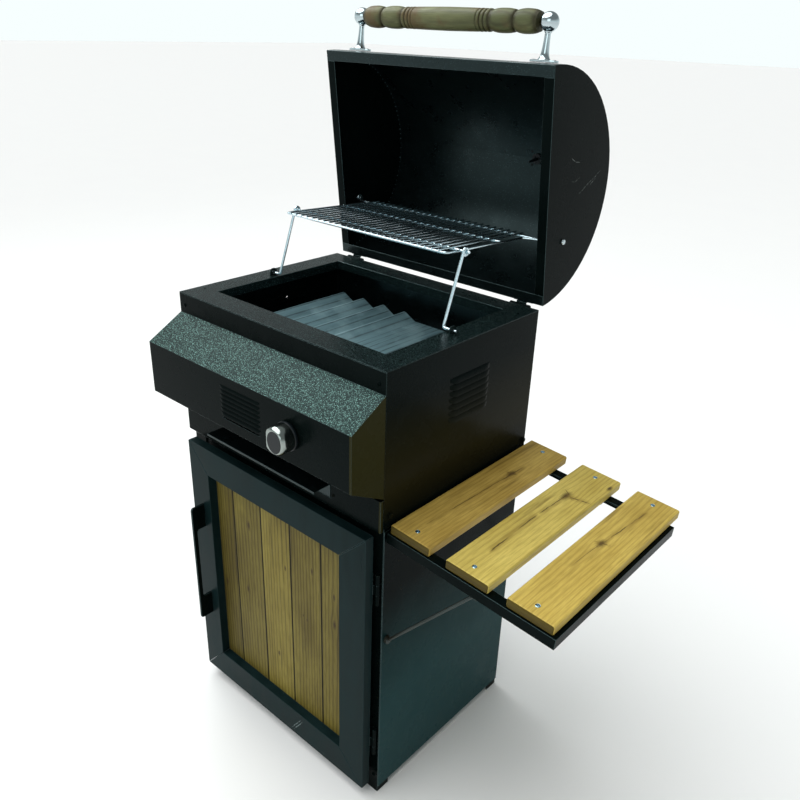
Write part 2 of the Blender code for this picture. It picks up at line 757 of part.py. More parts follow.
def lid_hinge(name, side):
    """The lid's leaf with the middle knuckle, and the firebox's leaf with two knuckles and the pin."""
    x = side * HINGE_X
    y, z = HINGE.y, HINGE.z
    lid_y = LID_RADIUS + GAP
    corners = (x - 0.02, lid_y, z + 0.010), (x + 0.02, lid_y + 0.002, z + 0.037)
    moving = block(f"lid_hinge_leaf_{name}", *corners)
    arm = [
        (lid_y, z + 0.011), (lid_y, z + 0.004), (y - 0.001, z + 0.0030),
        (y - 0.001, z + 0.0046), (lid_y + 0.002, z + 0.0065), (lid_y + 0.002, z + 0.011),
    ]
    add(moving, plate(f"lid_arm_{name}", [arm], "YZ", x - 0.0098, x + 0.0098))
    place = along("X", (0, y, z))
    knuckle = [(0.005, x + 0.0098), (0.005, x - 0.0098), (0.0024, x - 0.0098), (0.0024, x + 0.0098)]
    add(moving, turned(f"lid_knuckle_{name}", knuckle, place, 20, ring=True))
    fixed_y = BACK + GAP
    corners = (x - 0.02, fixed_y, z - 0.033), (x + 0.02, fixed_y + 0.002, z - 0.006)
    fixed = block(f"body_hinge_leaf_{name}", *corners)
    arm = [
        (fixed_y, z - 0.007), (fixed_y + 0.002, z - 0.007), (y + 0.001, z - 0.0046),
        (y + 0.001, z - 0.003), (fixed_y, z - 0.0035),
    ]
    for tag, low, high in (("a", x - 0.02, x - 0.0102), ("b", x + 0.0102, x + 0.02)):
        add(fixed, plate(f"body_arm_{name}_{tag}", [arm], "YZ", low, high))
        add(fixed, rod(f"body_knuckle_{name}_{tag}", "X", (0, y, z), 0.005, low, high, 20))
    add(fixed, rod(f"hinge_pin_{name}", "X", (0, y, z), 0.0020, x - 0.015, x + 0.015, 20))
    return moving, fixed


def lid_gauge():
    """The lid's temperature gauge: a dial outside, and a nut and probe inside."""
    top = MOUTH_Z + LID_RADIUS
    profile = [
        (0, 0.0150), (0.0235, 0.0150), (0.0250, 0.0125), (0.0250, 0.0040), (0.0160, 0.0010),
        (0.0060, 0.0010), (0.0060, -0.0024), (0.0100, -0.0024), (0.0100, -0.0065), (0.0030, -0.0065),
        (0.0020, -0.0300), (0, -0.0310),
    ]
    return turned("lid_temperature_gauge", profile, along("Z", (GAUGE_X, 0, top)))


def rack_pivot_bolt(name, side):
    """A bolt through the lid's end, with a nut inside and a cap that keeps the rack's eye on."""
    outside = LID_X + GAP
    profile = [
        (0, outside + 0.0035), (0.004, outside + 0.0035), (0.005, outside + 0.002), (0.005, outside),
        (0.0025, outside), (0.0025, LID_X - 0.0018), (0.0045, LID_X - 0.0018),
        (0.0045, LID_X - 0.0052), (0.0025, LID_X - 0.0052), (0.0025, LID_X - 0.0118),
        (0.0042, LID_X - 0.0118), (0.0042, LID_X - 0.0140), (0, LID_X - 0.0140),
    ]
    place = Matrix.Translation((0, PIVOT.y, PIVOT.z)) @ Matrix.Rotation(side * math.pi / 2, 4, "Y")
    return turned(name, profile, place, 20)


# Warming rack, written with the lid open


def rack_point(x, reach, lift=0.0):
    """A point of the rack: reach is forward of its pivots, lift is above its frame."""
    t = math.radians(RACK_SLOPE_DEG)
    y = OPEN_PIVOT.y - reach * math.cos(t) + lift * math.sin(t)
    return Vector((x, y, OPEN_PIVOT.z + reach * math.sin(t) + lift * math.cos(t)))


def warming_rack():
    x, reach, eye_x = RACK_X, RACK_REACH, LID_X - 0.0085
    side = [(eye_x, 0.0052), (eye_x, 0.010), (eye_x - 0.003, 0.0135), (x + 0.003, 0.034), (x, 0.038)]
    side += [(x, reach - 0.010), (x - 0.003, reach - 0.003), (x - 0.010, reach)]
    points = [rack_point(-a, b) for a, b in side] + [rack_point(a, b) for a, b in side[::-1]]
    rack = wire("warming_rack", points, FRAME_WIRE)
    for name, ends, place in (
        ("rear", x + 0.026, 0.022), ("middle", x + 0.001, 0.4 * reach), ("pin", x + 0.018, PIN_REACH)
    ):
        add(rack, wire(f"rack_{name}_wire", [rack_point(-ends, place), rack_point(ends, place)], FRAME_WIRE))
    for name, sign in (("left", -1), ("right", 1)):
        place = Matrix.Translation(OPEN_PIVOT) @ Matrix.Rotation(sign * math.pi / 2, 4, "Y")
        near, far = eye_x - 0.002, eye_x + 0.002
        eye = [(0.0072, far), (0.0072, near), (0.0031, near), (0.0031, far)]
        add(rack, turned(f"rack_eye_{name}", eye, place, 16, ring=True))
    long_wires(rack)
    return rack


def long_wires(rack):
    """The wires that food sits on, as one group that one modifier adds."""
    group = bpy.data.collections.new("long_wires")
    HELPERS.children.link(group)
    edge = RACK_X - 0.014
    for i in range(RACK_WIRES):
        x = -edge + 2 * edge * i / (RACK_WIRES - 1)
        ends = [rack_point(x, 0.012, 0.003), rack_point(x, RACK_REACH + 0.0012, 0.003)]
        made = wire(f"rack_wire_{i + 1}", ends, LONG_WIRE, 1)
        put_away(rack, made)
        HELPERS.objects.unlink(made)
        group.objects.link(made)
    modifier = rack.modifiers.new("long wires", "BOOLEAN")
    modifier.operation = "UNION"
    modifier.solver = "EXACT"
    modifier.operand_type = "COLLECTION"
    modifier.collection = group


def rack_leg(name, side, foot, pin):
    """A bent wire: out through the rim's tab, up to the rack, and round its pin as an open hook."""
    x = HALF - 0.0515
    bend = 0.00535
    run = (pin - foot).normalized()
    length = (pin - foot).length
    normal = Vector((0, -run.z, run.y))
    lean = math.asin(bend / length)
    start, hook = foot + Vector((x, 0, 0)), pin + Vector((x, 0, 0))
    out = Vector((1, 0, 0))
    points = [start + out * 0.027, start + out * 0.004]
    points += [start + out * 0.0012 + run * 0.0010, start + run * 0.0045]
    for t in fractions(math.radians(262), 13):
        points.append(hook + (normal * math.cos(t - lean) + run * math.sin(t - lean)) * bend)
    if side < 0:
        points = [Vector((-p.x, p.y, p.z)) for p in points]
    return wire(name, points, LEG_WIRE)


# Side shelf, written level


def shelf_slats():
    made = []
    for i, name in enumerate(("inner", "middle", "outer")[:SLATS]):
        x = SHELF_X + i * SLAT_PITCH
        low = (x, CAB_FRONT + 0.0067, SLAT_TOP - SLAT_THICK)
        high = (x + SLAT_WIDTH, BACK + 0.020, SLAT_TOP)
        slat = block(f"shelf_slat_{name}", low, high)
        soften(slat, 0.0035)
        made.append(slat)
    return made


def shelf_frame():
    top = SLAT_TOP - SLAT_THICK - GAP
    x0, x1 = HALF + 0.0010, SHELF_END
    y0, y1 = CAB_FRONT + 0.0045, CAB_BACK - 0.002
    r, t = RAIL, RAIL_THICK
    hole = rect(x0 + r, y0 + r, x1 - r, y1 - r)
    frame = plate("shelf_frame", [rect(x0, y0, x1, y1), hole], "XY", top - r, top)
    cut(frame, block("shelf_frame_cut", (x0 + t, y0 + t, top - r - 0.01), (x1 - t, y1 - t, top - t)))
    return frame


def shelf_stay(name, y):
    """A rod from the cabinet's side up to the shelf's rail, with an eye at its upper end."""
    low = Vector((CAB_X + 0.0048, y, CABINET_HEIGHT - 0.221))
    high = Vector((HALF + 0.170, y, CABINET_HEIGHT - 0.030))
    run = (high - low).normalized()
    bend = 0.0070
    stay = wire(name, [low, high - run * bend], STAY_RADIUS)
    inner, outer = bend - STAY_RADIUS, bend + STAY_RADIUS
    ring = [(outer, -0.0022), (outer, 0.0022), (inner, 0.0022), (inner, -0.0022)]
    add(stay, turned(name + "_eye", ring, along("Y", high), 20, ring=True))
    pad = [(0, -0.0045), (0.007, -0.0045), (0.007, 0.0012), (0, 0.0012)]
    add(stay, turned(name + "_pad", pad, along("X", low), 16))
    return stay


# Assembly


def build(root):
    still = ((0, 0, 0), "black paint")
    hang(root, *still, *cabinet_legs(), *cabinet_sides(), *cabinet_inside())
    leaves = [door_hinge("upper", DOOR_TOP - 0.105), door_hinge("lower", DOOR_BOTTOM + 0.105)]
    hang(root, (0, 0, 0), "zinc steel", *[fixed for _, fixed in leaves])
    hang(root, (0, 0, 0), "magnet", door_magnet())
    door = empty("door_axis", root, DOOR_AXIS)
    hang(door, DOOR_AXIS, "slate paint", door_frame())
    hang(door, DOOR_AXIS, "stained wood", *door_boards())
    hang(door, DOOR_AXIS, "slate paint", door_handle())
    hang(door, DOOR_AXIS, "zinc steel", *[moving for moving, _ in leaves])
    build_firebox(root)
    build_lid(root)
    build_rack(root)
    build_shelf(root)


def build_firebox(root):
    sides = [firebox_side("firebox_side_left", -1), firebox_side("firebox_side_right", 1)]
    hang(root, (0, 0, 0), "black paint", *sides, firebox_back(), firebox_front(), firebox_base())
    hang(root, (0, 0, 0), "black paint", firebox_rim(FOOT), control_panel(), tray_surround())
    hang(root, (0, 0, 0), "zinc steel", *tray_runners(), burner_tube())
    hang(root, (0, 0, 0), "aluminised steel", heat_plate())
    hang(root, (0, 0, 0), "brass", gas_valve())
    tray_start = Vector((0, FRONT, BOX_BOTTOM + 0.02))
    hang(empty("drip_tray_slide", root, tray_start), tray_start, "black paint", drip_tray())
    knob_start = Vector((KNOB_X, PANEL_FRONT, KNOB_Z))
    push = empty("knob_push_axis", root, knob_start)
    hang(push, knob_start, "zinc steel", valve_stem())
    hang(empty("knob_turn_axis", push, (0, 0, 0)), knob_start, "chrome", control_knob())


def build_lid(root):
    lid = empty("lid_axis", root, HINGE, ("X", -LID_OPEN_DEG))
    ends = [lid_end("lid_end_left", -1), lid_end("lid_end_right", 1)]
    hang(lid, HINGE, "black paint", lid_shell(), *ends)
    posts = [lid_handle_post("lid_handle_post_left", -1), lid_handle_post("lid_handle_post_right", 1)]
    bolts = [rack_pivot_bolt("rack_pivot_bolt_left", -1), rack_pivot_bolt("rack_pivot_bolt_right", 1)]
    hang(lid, HINGE, "chrome", *posts, lid_gauge())
    hang(lid, HINGE, "zinc steel", *bolts)
    hang(lid, HINGE, "stained wood", lid_handle_grip())
    leaves = [lid_hinge("left", -1), lid_hinge("right", 1)]
    hang(lid, HINGE, "zinc steel", *[moving for moving, _ in leaves])
    hang(root, (0, 0, 0), "zinc steel", *[fixed for _, fixed in leaves])


def build_rack(root):
    rack = empty("rack_axis", root, OPEN_PIVOT)
    hang(rack, OPEN_PIVOT, "chrome", warming_rack())
    for name, side in (("left", -1), ("right", 1)):
        leg = empty(f"rack_leg_axis_{name}", root, FOOT)
        hang(leg, FOOT, "chrome", rack_leg(f"rack_leg_{name}", side, FOOT, PIN))


def build_shelf(root):
    corner = Vector((SHELF_X, 0, SLAT_TOP))
    tilt = empty("shelf_tilt", root, corner, ("Y", SHELF_DROOP_DEG))
    hang(tilt, corner, "pine", *shelf_slats())
    hang(tilt, corner, "black paint", shelf_frame())
    front = CAB_FRONT + 0.011
    stays = [shelf_stay("shelf_stay_front", front), shelf_stay("shelf_stay_rear", CAB_BACK - 0.0085)]
    hang(root, (0, 0, 0), "zinc steel", *stays)


def centre_on_floor(root):
    """Moves the root so that the whole object's box stands on the origin."""
    bpy.context.view_layer.update()
    graph = bpy.context.evaluated_depsgraph_get()
    points = []
    for piece in MAIN.objects:
        if piece.type == "MESH":
            shape = piece.evaluated_get(graph)
            points += [shape.matrix_world @ vert.co for vert in shape.data.vertices]
    low = [min(point[i] for point in points) for i in range(3)]
    high = [max(point[i] for point in points) for i in range(3)]
    root.location = (-(low[0] + high[0]) / 2, -(low[1] + high[1]) / 2, -low[2])


GAUGE_X = HALF * 0.40
SWING = Matrix.Rotation(math.radians(-LID_OPEN_DEG), 3, "X")
OPEN_PIVOT = HINGE + SWING @ (PIVOT - HINGE)
SLOPE = math.radians(RACK_SLOPE_DEG)
PIN = OPEN_PIVOT + Vector((0, -PIN_REACH * math.cos(SLOPE), PIN_REACH * math.sin(SLOPE)))
FOOT = HINGE + (PIN - OPEN_PIVOT)

clear_scene()
MAIN = collection("gas_barbecue_cart")
HELPERS = collection("helpers")
HELPERS.hide_render = True
ROOT = empty("cart", None, (0, 0, 0))
build(ROOT)
centre_on_floor(ROOT)
bpy.context.view_layer.update()
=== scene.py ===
import json
import math
import random

import bmesh
import bpy
from mathutils import Matrix, Vector


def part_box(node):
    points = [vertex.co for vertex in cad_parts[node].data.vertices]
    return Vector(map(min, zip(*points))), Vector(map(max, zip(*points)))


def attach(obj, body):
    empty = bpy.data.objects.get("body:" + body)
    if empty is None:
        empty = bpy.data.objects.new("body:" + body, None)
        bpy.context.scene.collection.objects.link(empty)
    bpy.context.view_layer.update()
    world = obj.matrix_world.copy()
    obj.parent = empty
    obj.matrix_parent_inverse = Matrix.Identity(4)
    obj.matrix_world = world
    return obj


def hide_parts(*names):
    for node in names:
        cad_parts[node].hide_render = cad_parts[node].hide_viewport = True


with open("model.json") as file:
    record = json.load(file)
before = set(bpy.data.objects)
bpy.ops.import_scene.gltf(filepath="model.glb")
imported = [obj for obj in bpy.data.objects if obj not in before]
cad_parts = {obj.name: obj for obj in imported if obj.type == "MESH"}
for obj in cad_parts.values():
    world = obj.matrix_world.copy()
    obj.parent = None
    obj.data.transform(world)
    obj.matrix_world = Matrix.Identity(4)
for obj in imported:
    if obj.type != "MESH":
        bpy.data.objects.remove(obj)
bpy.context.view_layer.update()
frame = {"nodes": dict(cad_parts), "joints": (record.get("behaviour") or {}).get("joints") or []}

# The places of the frame that the rest is worked out from. The cart's own middle is at x = y = 0
# in "cart" coordinates, which MIDDLE turns into the frame's.
RIM_LOW, RIM_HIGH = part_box("firebox_rim")
CAB_LOW, CAB_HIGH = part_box("cabinet_side_right")
SIDE_LOW, SIDE_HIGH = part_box("firebox_side_right")
MIDDLE = Vector(((RIM_LOW.x + RIM_HIGH.x) / 2, (SIDE_LOW.y + SIDE_HIGH.y) / 2, 0))
HALF = (RIM_HIGH.x - RIM_LOW.x) / 2
JOINTS = {joint["name"]: joint for joint in frame["joints"]}
HINGE = Vector(JOINTS["lid_hinge"]["pos_m"])
OPEN = math.radians(JOINTS["lid_hinge"]["range_deg"][1])
PIVOT = Vector(JOINTS["rack_pivot"]["pos_m"])
FOOT = Vector(JOINTS["rack_leg_left_pivot"]["pos_m"])
DROOP = math.radians(4.05)
RACK_SLOPE = math.radians(2.7)

BOX_DEPTH = 0.386
RACK_REACH = 0.6373 * BOX_DEPTH
PIN_REACH = 0.5417 * BOX_DEPTH
SIDE_LOUVRE_LOW = SIDE_LOW.z + 0.134
SIDE_LOUVRE_PITCH, FRONT_LOUVRE_PITCH = 0.0115, 0.008
LOUVRES = 7
HANDLE_TURN = Matrix.Rotation(math.pi / 2 - math.radians(12.1), 4, "X")

STILL = Matrix.Translation(MIDDLE)
RNG = random.Random(7)


def about(point, turn):
    return Matrix.Translation(point) @ turn @ Matrix.Translation(-point)


LID = about(HINGE, Matrix.Rotation(-OPEN, 4, "X")) @ STILL
PANEL_LOW, PANEL_HIGH = [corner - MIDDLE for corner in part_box("control_panel")]
FRONT_LOUVRE_LOW = PANEL_LOW.z + (PANEL_HIGH.z - PANEL_LOW.z) * 0.313
BOX_TOP = PANEL_HIGH.z + 0.0018
CABINET_TOP = CAB_HIGH.z + 0.001
SLAT_TOP = CABINET_TOP + 0.013
SHELF_X = HALF + 0.0036
SHELF_CORNER = Vector((SHELF_X, 0, SLAT_TOP)) + MIDDLE
SHELF = about(SHELF_CORNER, Matrix.Rotation(DROOP, 4, "Y")) @ STILL


def local_box(node, place):
    """A CAD node's box in the coordinates of a place, such as the closed lid's."""
    back = place.inverted()
    points = [back @ vert.co for vert in frame["nodes"][node].data.vertices]
    return tuple(Vector([pick(p[i] for p in points) for i in range(3)]) for pick in (min, max))


# Node trees


class Tree:
    """A material being built: its Principled shader and short ways to add nodes to it."""

    def __init__(self, material):
        self.material = material
        self.tree = material.node_tree
        self.shader = self.tree.nodes["Principled BSDF"]
        self.coords = self.tree.nodes.new("ShaderNodeTexCoord").outputs["Object"]

    @classmethod
    def new(cls, name, colour, metallic=0.0, roughness=0.4):
        material = bpy.data.materials.new(name)
        material.use_nodes = True
        tree = cls(material)
        tree.set("Base Color", (*colour, 1))
        tree.set("Metallic", metallic)
        tree.set("Roughness", roughness)
        return tree

    def linked(self, socket):
        return self.shader.inputs[socket].links[0].from_socket

    def set(self, socket, value):
        if isinstance(value, bpy.types.NodeSocket):
            self.tree.links.new(value, self.shader.inputs[socket])
        else:
            self.shader.inputs[socket].default_value = value

    def node(self, kind, output, inputs, **settings):
        made = self.tree.nodes.new("ShaderNode" + kind)
        for name, value in settings.items():
            setattr(made, name, value)
        for name, value in inputs.items():
            if isinstance(value, bpy.types.NodeSocket):
                self.tree.links.new(value, made.inputs[name])
            else:
                made.inputs[name].default_value = value
        return made.outputs[output]

    def math(self, operation, a, b=0.0):
        return self.node("Math", 0, {0: a, 1: b}, operation=operation)

    def plus(self, a, b):
        return self.math("ADD", a, b)

    def minus(self, a, b):
        return self.math("SUBTRACT", a, b)

    def times(self, a, b):
        return self.math("MULTIPLY", a, b)

    def distance(self, a, b):
        """The distance whose parts along two axes are a and b."""
        return self.math("SQRT", self.plus(self.times(a, a), self.times(b, b)))

    def waver(self, scale, detail, size):
        """Noise about zero, to make a line or a distance uneven."""
        return self.times(self.minus(self.noise(scale, detail), 0.5), size)

    def stretched(self, scale, shift=(0, 0, 0)):
        inputs = {"Vector": self.coords, "Scale": scale, "Location": shift}
        return self.node("Mapping", 0, inputs)

    def noise(self, scale, detail=3.0, coords=None, rough=0.55):
        inputs = {"Vector": coords or self.coords, "Scale": scale, "Detail": detail, "Roughness": rough}
        return self.node("TexNoise", 0, inputs)

    def cells(self, scale, feature="F1"):
        inputs = {"Vector": self.coords, "Scale": scale}
        return self.node("TexVoronoi", "Distance", inputs, feature=feature)

    def spread(self, value, low, high, to_low=0.0, to_high=1.0):
        inputs = {0: value, 1: low, 2: high, 3: to_low, 4: to_high}
        return self.node("MapRange", 0, inputs)

    def mix(self, factor, first, second):
        made = self.tree.nodes.new("ShaderNodeMix")
        made.data_type = "RGBA"
        for slot, value in ((0, factor), (6, first), (7, second)):
            if isinstance(value, bpy.types.NodeSocket):
                self.tree.links.new(value, made.inputs[slot])
            else:
                made.inputs[slot].default_value = value if slot == 0 else (*value, 1)
        return made.outputs[2]

    def axis(self, index):
        return self.node("SeparateXYZ", index, {0: self.coords})

    def bump(self, height, distance, strength=1.0, normal=None):
        inputs = {"Height": height, "Distance": distance, "Strength": strength}
        if normal:
            inputs["Normal"] = normal
        made = self.node("Bump", 0, inputs)
        self.set("Normal", made)
        return made


TEAL = (0.62, 0.96, 1.0, 1)
# Painted reflections: brown tints standing in for the warm wood reflected in the black paint.
PAINTED_REFLECTION_BROWN, PANEL_END_PAINTED_REFLECTION = (0.0130, 0.0112, 0.0040), (0.022, 0.0205, 0.0068)
PAINTED_GLINT = (0.10, 0.17, 0.18)
SCRATCH, SCUFF = (0.16, 0.18, 0.17), (0.16, 0.20, 0.20)
KNOT, CRACK, PAINTED_GAP_SHADE = (0.035, 0.018, 0.007), (0.045, 0.024, 0.009), (0.006, 0.005, 0.003)
RINGS_PER_METRE = 120
RIDGE_PITCH = 0.01375


def panel_paint(name, colour=(0.0012, 0.0027, 0.0025), gloss=0.18, shine=0.03, sparkle=0.0):
    """Gloss black sheet-metal paint: fine orange peel, uneven gloss, a little dust, and a painted
    reflection: a brown tint low on the box's side by the shelf and on the end of the panel. With
    sparkle it also has painted glints."""
    t = Tree.new(name, colour, roughness=gloss)
    cloudy = t.noise(6, 4)
    dusty = t.mix(t.spread(cloudy, 0.4, 0.75), colour, [1.4 * c + 0.0005 for c in colour])
    # Painted reflection: brown low on the box's right side by the shelf, fading out just above it, and
    # on the end of the panel.
    low = t.times(t.spread(t.axis(2), 0.80, 0.68), t.spread(t.axis(2), 0.600, 0.655))
    beside = t.math("GREATER_THAN", t.axis(0), MIDDLE.x + HALF - 0.004)
    tone = t.mix(t.times(low, beside), dusty, PAINTED_REFLECTION_BROWN)
    ahead = t.math("LESS_THAN", t.axis(1), SIDE_LOW.y - 0.002)
    tone = t.mix(t.times(ahead, beside), tone, PANEL_END_PAINTED_REFLECTION)
    # Painted glints: bright specks mixed into the colour, standing in for flakes catching the light.
    if sparkle:
        flakes = t.spread(t.cells(500), 0.35, 0.15)
        glint = t.times(flakes, t.spread(t.noise(700, 2), 0.55, 0.64))
        tone = t.mix(t.times(glint, sparkle), tone, PAINTED_GLINT)
    t.set("Base Color", tone)
    t.set("Roughness", t.spread(t.noise(28, 5), 0.3, 0.75, gloss, gloss + 0.16))
    t.set("Specular IOR Level", shine)
    t.set("Specular Tint", TEAL)
    peel = t.bump(t.noise(420, 2), 0.00022, 0.35)
    t.bump(t.cells(330), 0.0003, 0.16, peel)
    return t.material


def hammer_paint(name, colour=(0.0040, 0.0125, 0.0105), glint_colour=(0.30, 0.56, 0.50), shine=0.07,
                 sparse=0.485):
    """The coarse sparkling paint: raised cells about 2 mm across that catch the light, and painted
    glints: bright specks mixed into the colour on the cells.
    """
    t = Tree.new(name, colour, roughness=0.26)
    cell = t.cells(620)
    grain = t.noise(800, 2)
    catch = t.times(t.spread(cell, 0.48, 0.20), t.spread(grain, sparse, sparse + 0.07))
    # Painted glints: bright specks in the colour.
    t.set("Base Color", t.mix(catch, colour, glint_colour))
    t.set("Roughness", t.spread(grain, 0.3, 0.7, 0.16, 0.40))
    t.set("Specular IOR Level", shine)
    t.set("Specular Tint", TEAL)
    t.bump(t.cells(560, feature="SMOOTH_F1"), 0.0005, 0.6)
    return t.material


def slate_paint(name, colour=(0.0034, 0.0100, 0.0105)):
    """Satin grey-green paint on the door, brushed on, with rubbed edges and dusty streaks."""
    t = Tree.new(name, colour, roughness=0.34)
    streaks = t.noise(30, 6, t.stretched((1, 1, 0.25)))
    tone = t.mix(t.spread(streaks, 0.35, 0.72), colour, (0.0075, 0.0185, 0.0195))
    worn = t.spread(t.noise(75, 6, rough=0.7), 0.66, 0.74)
    tone = t.mix(worn, tone, (0.022, 0.036, 0.037))
    for shift in (0.0, 0.006):
        start, end = (0.040 + shift, 0.032), (0.070 + shift, 0.074)
        scuff = segment_mark(t, (0, 2), start, end, 0.0011, None, 0.38, 0.0008)
        tone = t.mix(scuff, tone, SCUFF)
    t.set("Base Color", tone)
    t.set("Specular IOR Level", 0.05)
    t.set("Specular Tint", TEAL)
    t.set("Roughness", t.spread(streaks, 0.3, 0.7, 0.27, 0.48))
    peel = t.bump(t.noise(500, 3), 0.00025, 0.4)
    t.bump(t.noise(60, 4, t.stretched((1, 1, 0.15))), 0.0004, 0.25, peel)
    return t.material


def metal(name, colour, roughness, smudge=0.08):
    """Bare or plated metal with smudges."""
    t = Tree.new(name, colour, 1.0, roughness)
    dull = t.noise(45, 5)
    t.set("Roughness", t.spread(dull, 0.35, 0.75, roughness, roughness + smudge))
    t.set("Base Color", t.mix(t.spread(dull, 0.3, 0.8), colour, [0.78 * c for c in colour]))
    t.bump(t.noise(260, 3), 0.00008, 0.4)
    return t.material


def segment_mark(t, axes, start, end, width, coords=None, gaps=0.42, sway=0.0018):
    """1 along a fine, wavering line between two points in the plane of two axes, 0 away from it.
    coords place the noise that breaks it up; without a gaps level it is a soft unbroken band."""
    a, b = [t.axis(axis) for axis in axes]
    run = (end[0] - start[0], end[1] - start[1])
    length = math.hypot(*run)
    run = (run[0] / length, run[1] / length)
    da = t.minus(a, start[0])
    db = t.minus(b, start[1])
    on = t.plus(t.times(da, run[0]), t.times(db, run[1]))
    off = t.minus(t.times(da, run[1]), t.times(db, run[0]))
    off = t.plus(off, t.waver(55, 2, sway * 2))
    near = t.spread(t.math("ABSOLUTE", off), width, width * (0.35 if gaps else 0.0))
    fade = min(0.012, length / 4)
    starts = t.spread(on, 0.0, fade)
    ends = t.spread(on, length, length - fade)
    mark = t.times(near, t.times(starts, ends))
    if not gaps:
        return mark
    broken = t.spread(t.noise(210, 3, coords), gaps, gaps + 0.14)
    return t.times(mark, broken)


def cabinet_paint(name):
    """The cabinet's satin paint, lighter and bluer towards the floor: painted shade from the shelf
    at the top and a painted reflection of the pale floor low down.
    """
    dark, pale = (0.0012, 0.0024, 0.0023), (0.0150, 0.0450, 0.0470)
    t = Tree.new(name, dark, roughness=0.26)
    height = t.plus(t.axis(2), t.waver(5, 4, 0.12))
    # Painted light: dark high up as painted shade, pale blue low down as a painted floor reflection.
    t.set("Base Color", t.mix(t.spread(height, 0.46, 0.22), dark, pale))
    t.set("Roughness", t.spread(t.noise(20, 6), 0.3, 0.75, 0.20, 0.42))
    t.set("Specular IOR Level", 0.03)
    t.set("Specular Tint", TEAL)
    t.bump(t.noise(400, 2), 0.00022, 0.35)
    return t.material


def knotted(t, lines, across, length, knots):
    """The growth lines pushed round each knot, and where the knots themselves are dark."""
    dark = None
    for a, b, size in knots:
        da = t.minus(across, a)
        db = t.times(t.minus(length, b), 0.42)
        gap = t.distance(da, db)
        push = t.spread(gap, 0.0, size * 3.2, size * 0.9, 0.0)
        side = t.math("DIVIDE", da, t.plus(gap, 0.001))
        lines = t.minus(lines, t.times(push, side))
        ragged = t.plus(gap, t.waver(260, 3, size * 0.5))
        mark = t.spread(ragged, size * 1.0, size * 0.25)
        dark = t.math("MAXIMUM", dark, mark) if dark else mark
    return lines, dark


def cracked(t, base, along, grain, dark, cracks):
    """Fine open cracks, each in a soft stain."""
    for start, end, width in cracks:
        stain = segment_mark(t, (0, along), start, end, width * 6, None, None)
        stain = t.times(stain, t.spread(t.noise(120, 3, grain), 0.30, 0.65, 0.12, 0.75))
        base = t.mix(stain, base, [0.8 * c for c in dark])
        fine = segment_mark(t, (0, along), start, end, width, grain, 0.40)
        base = t.mix(t.times(fine, 0.85), base, CRACK)
    return base


def wood(name, tones, along, knots=(), seed=0.0, rough=0.42, cracks=(), seams=(), contrast=0.5):
    """Sawn softwood. along is the grain's axis; knots are (across, along, size) in the piece's own
    coordinates. The growth lines run round each knot."""
    light, middle, dark = tones
    t = Tree.new(name, middle, roughness=rough)
    squeeze = [0.06 if i == along else 1.0 for i in range(3)]
    grain = t.stretched(squeeze, (seed, seed * 1.7, seed * 0.6))
    across = t.axis(0 if along else 2)
    lines = t.plus(across, t.times(t.noise(9, 2, grain), 0.05))
    lines, knot_dark = knotted(t, lines, across, t.axis(along), knots)
    rings = t.math("SINE", t.times(t.plus(lines, seed), math.tau * RINGS_PER_METRE))
    late = t.math("POWER", t.spread(rings, -1.0, 1.0), 3.5)
    fibre = t.noise(640, 3, grain)
    broad = [0.35 if i == along else 1.0 for i in range(3)]
    blotch = t.noise(17, 3, t.stretched(broad, (seed, 0, 0)))
    base = t.mix(t.spread(blotch, 0.3, 0.7), light, middle)
    depth = t.spread(blotch, 0.25, 0.7, contrast * 0.25, contrast)
    base = t.mix(t.times(late, depth), base, dark)
    base = t.mix(t.spread(fibre, 0.42, 0.75, 0.0, 0.55), base, [0.62 * c for c in middle])
    streak = t.spread(t.noise(70, 5, grain), 0.60, 0.72, 0.0, 0.55)
    base = t.mix(streak, base, [0.55 * c for c in dark])
    if knot_dark:
        base = t.mix(t.times(knot_dark, 0.88), base, KNOT)
    base = cracked(t, base, along, grain, dark, cracks)
    # Painted shade: near-black bands along the board's long edges, where the gaps between boards are.
    for edge in seams:
        near = t.math("ABSOLUTE", t.minus(across, edge))
        base = t.mix(t.spread(near, 0.0024, 0.0009), base, PAINTED_GAP_SHADE)
    t.set("Base Color", base)
    t.set("Roughness", t.spread(fibre, 0.3, 0.8, rough, rough + 0.18))
    t.set("Specular IOR Level", 0.16)
    t.bump(t.plus(t.times(fibre, 0.7), t.times(late, 0.4)), 0.0004, 0.7)
    return t.material


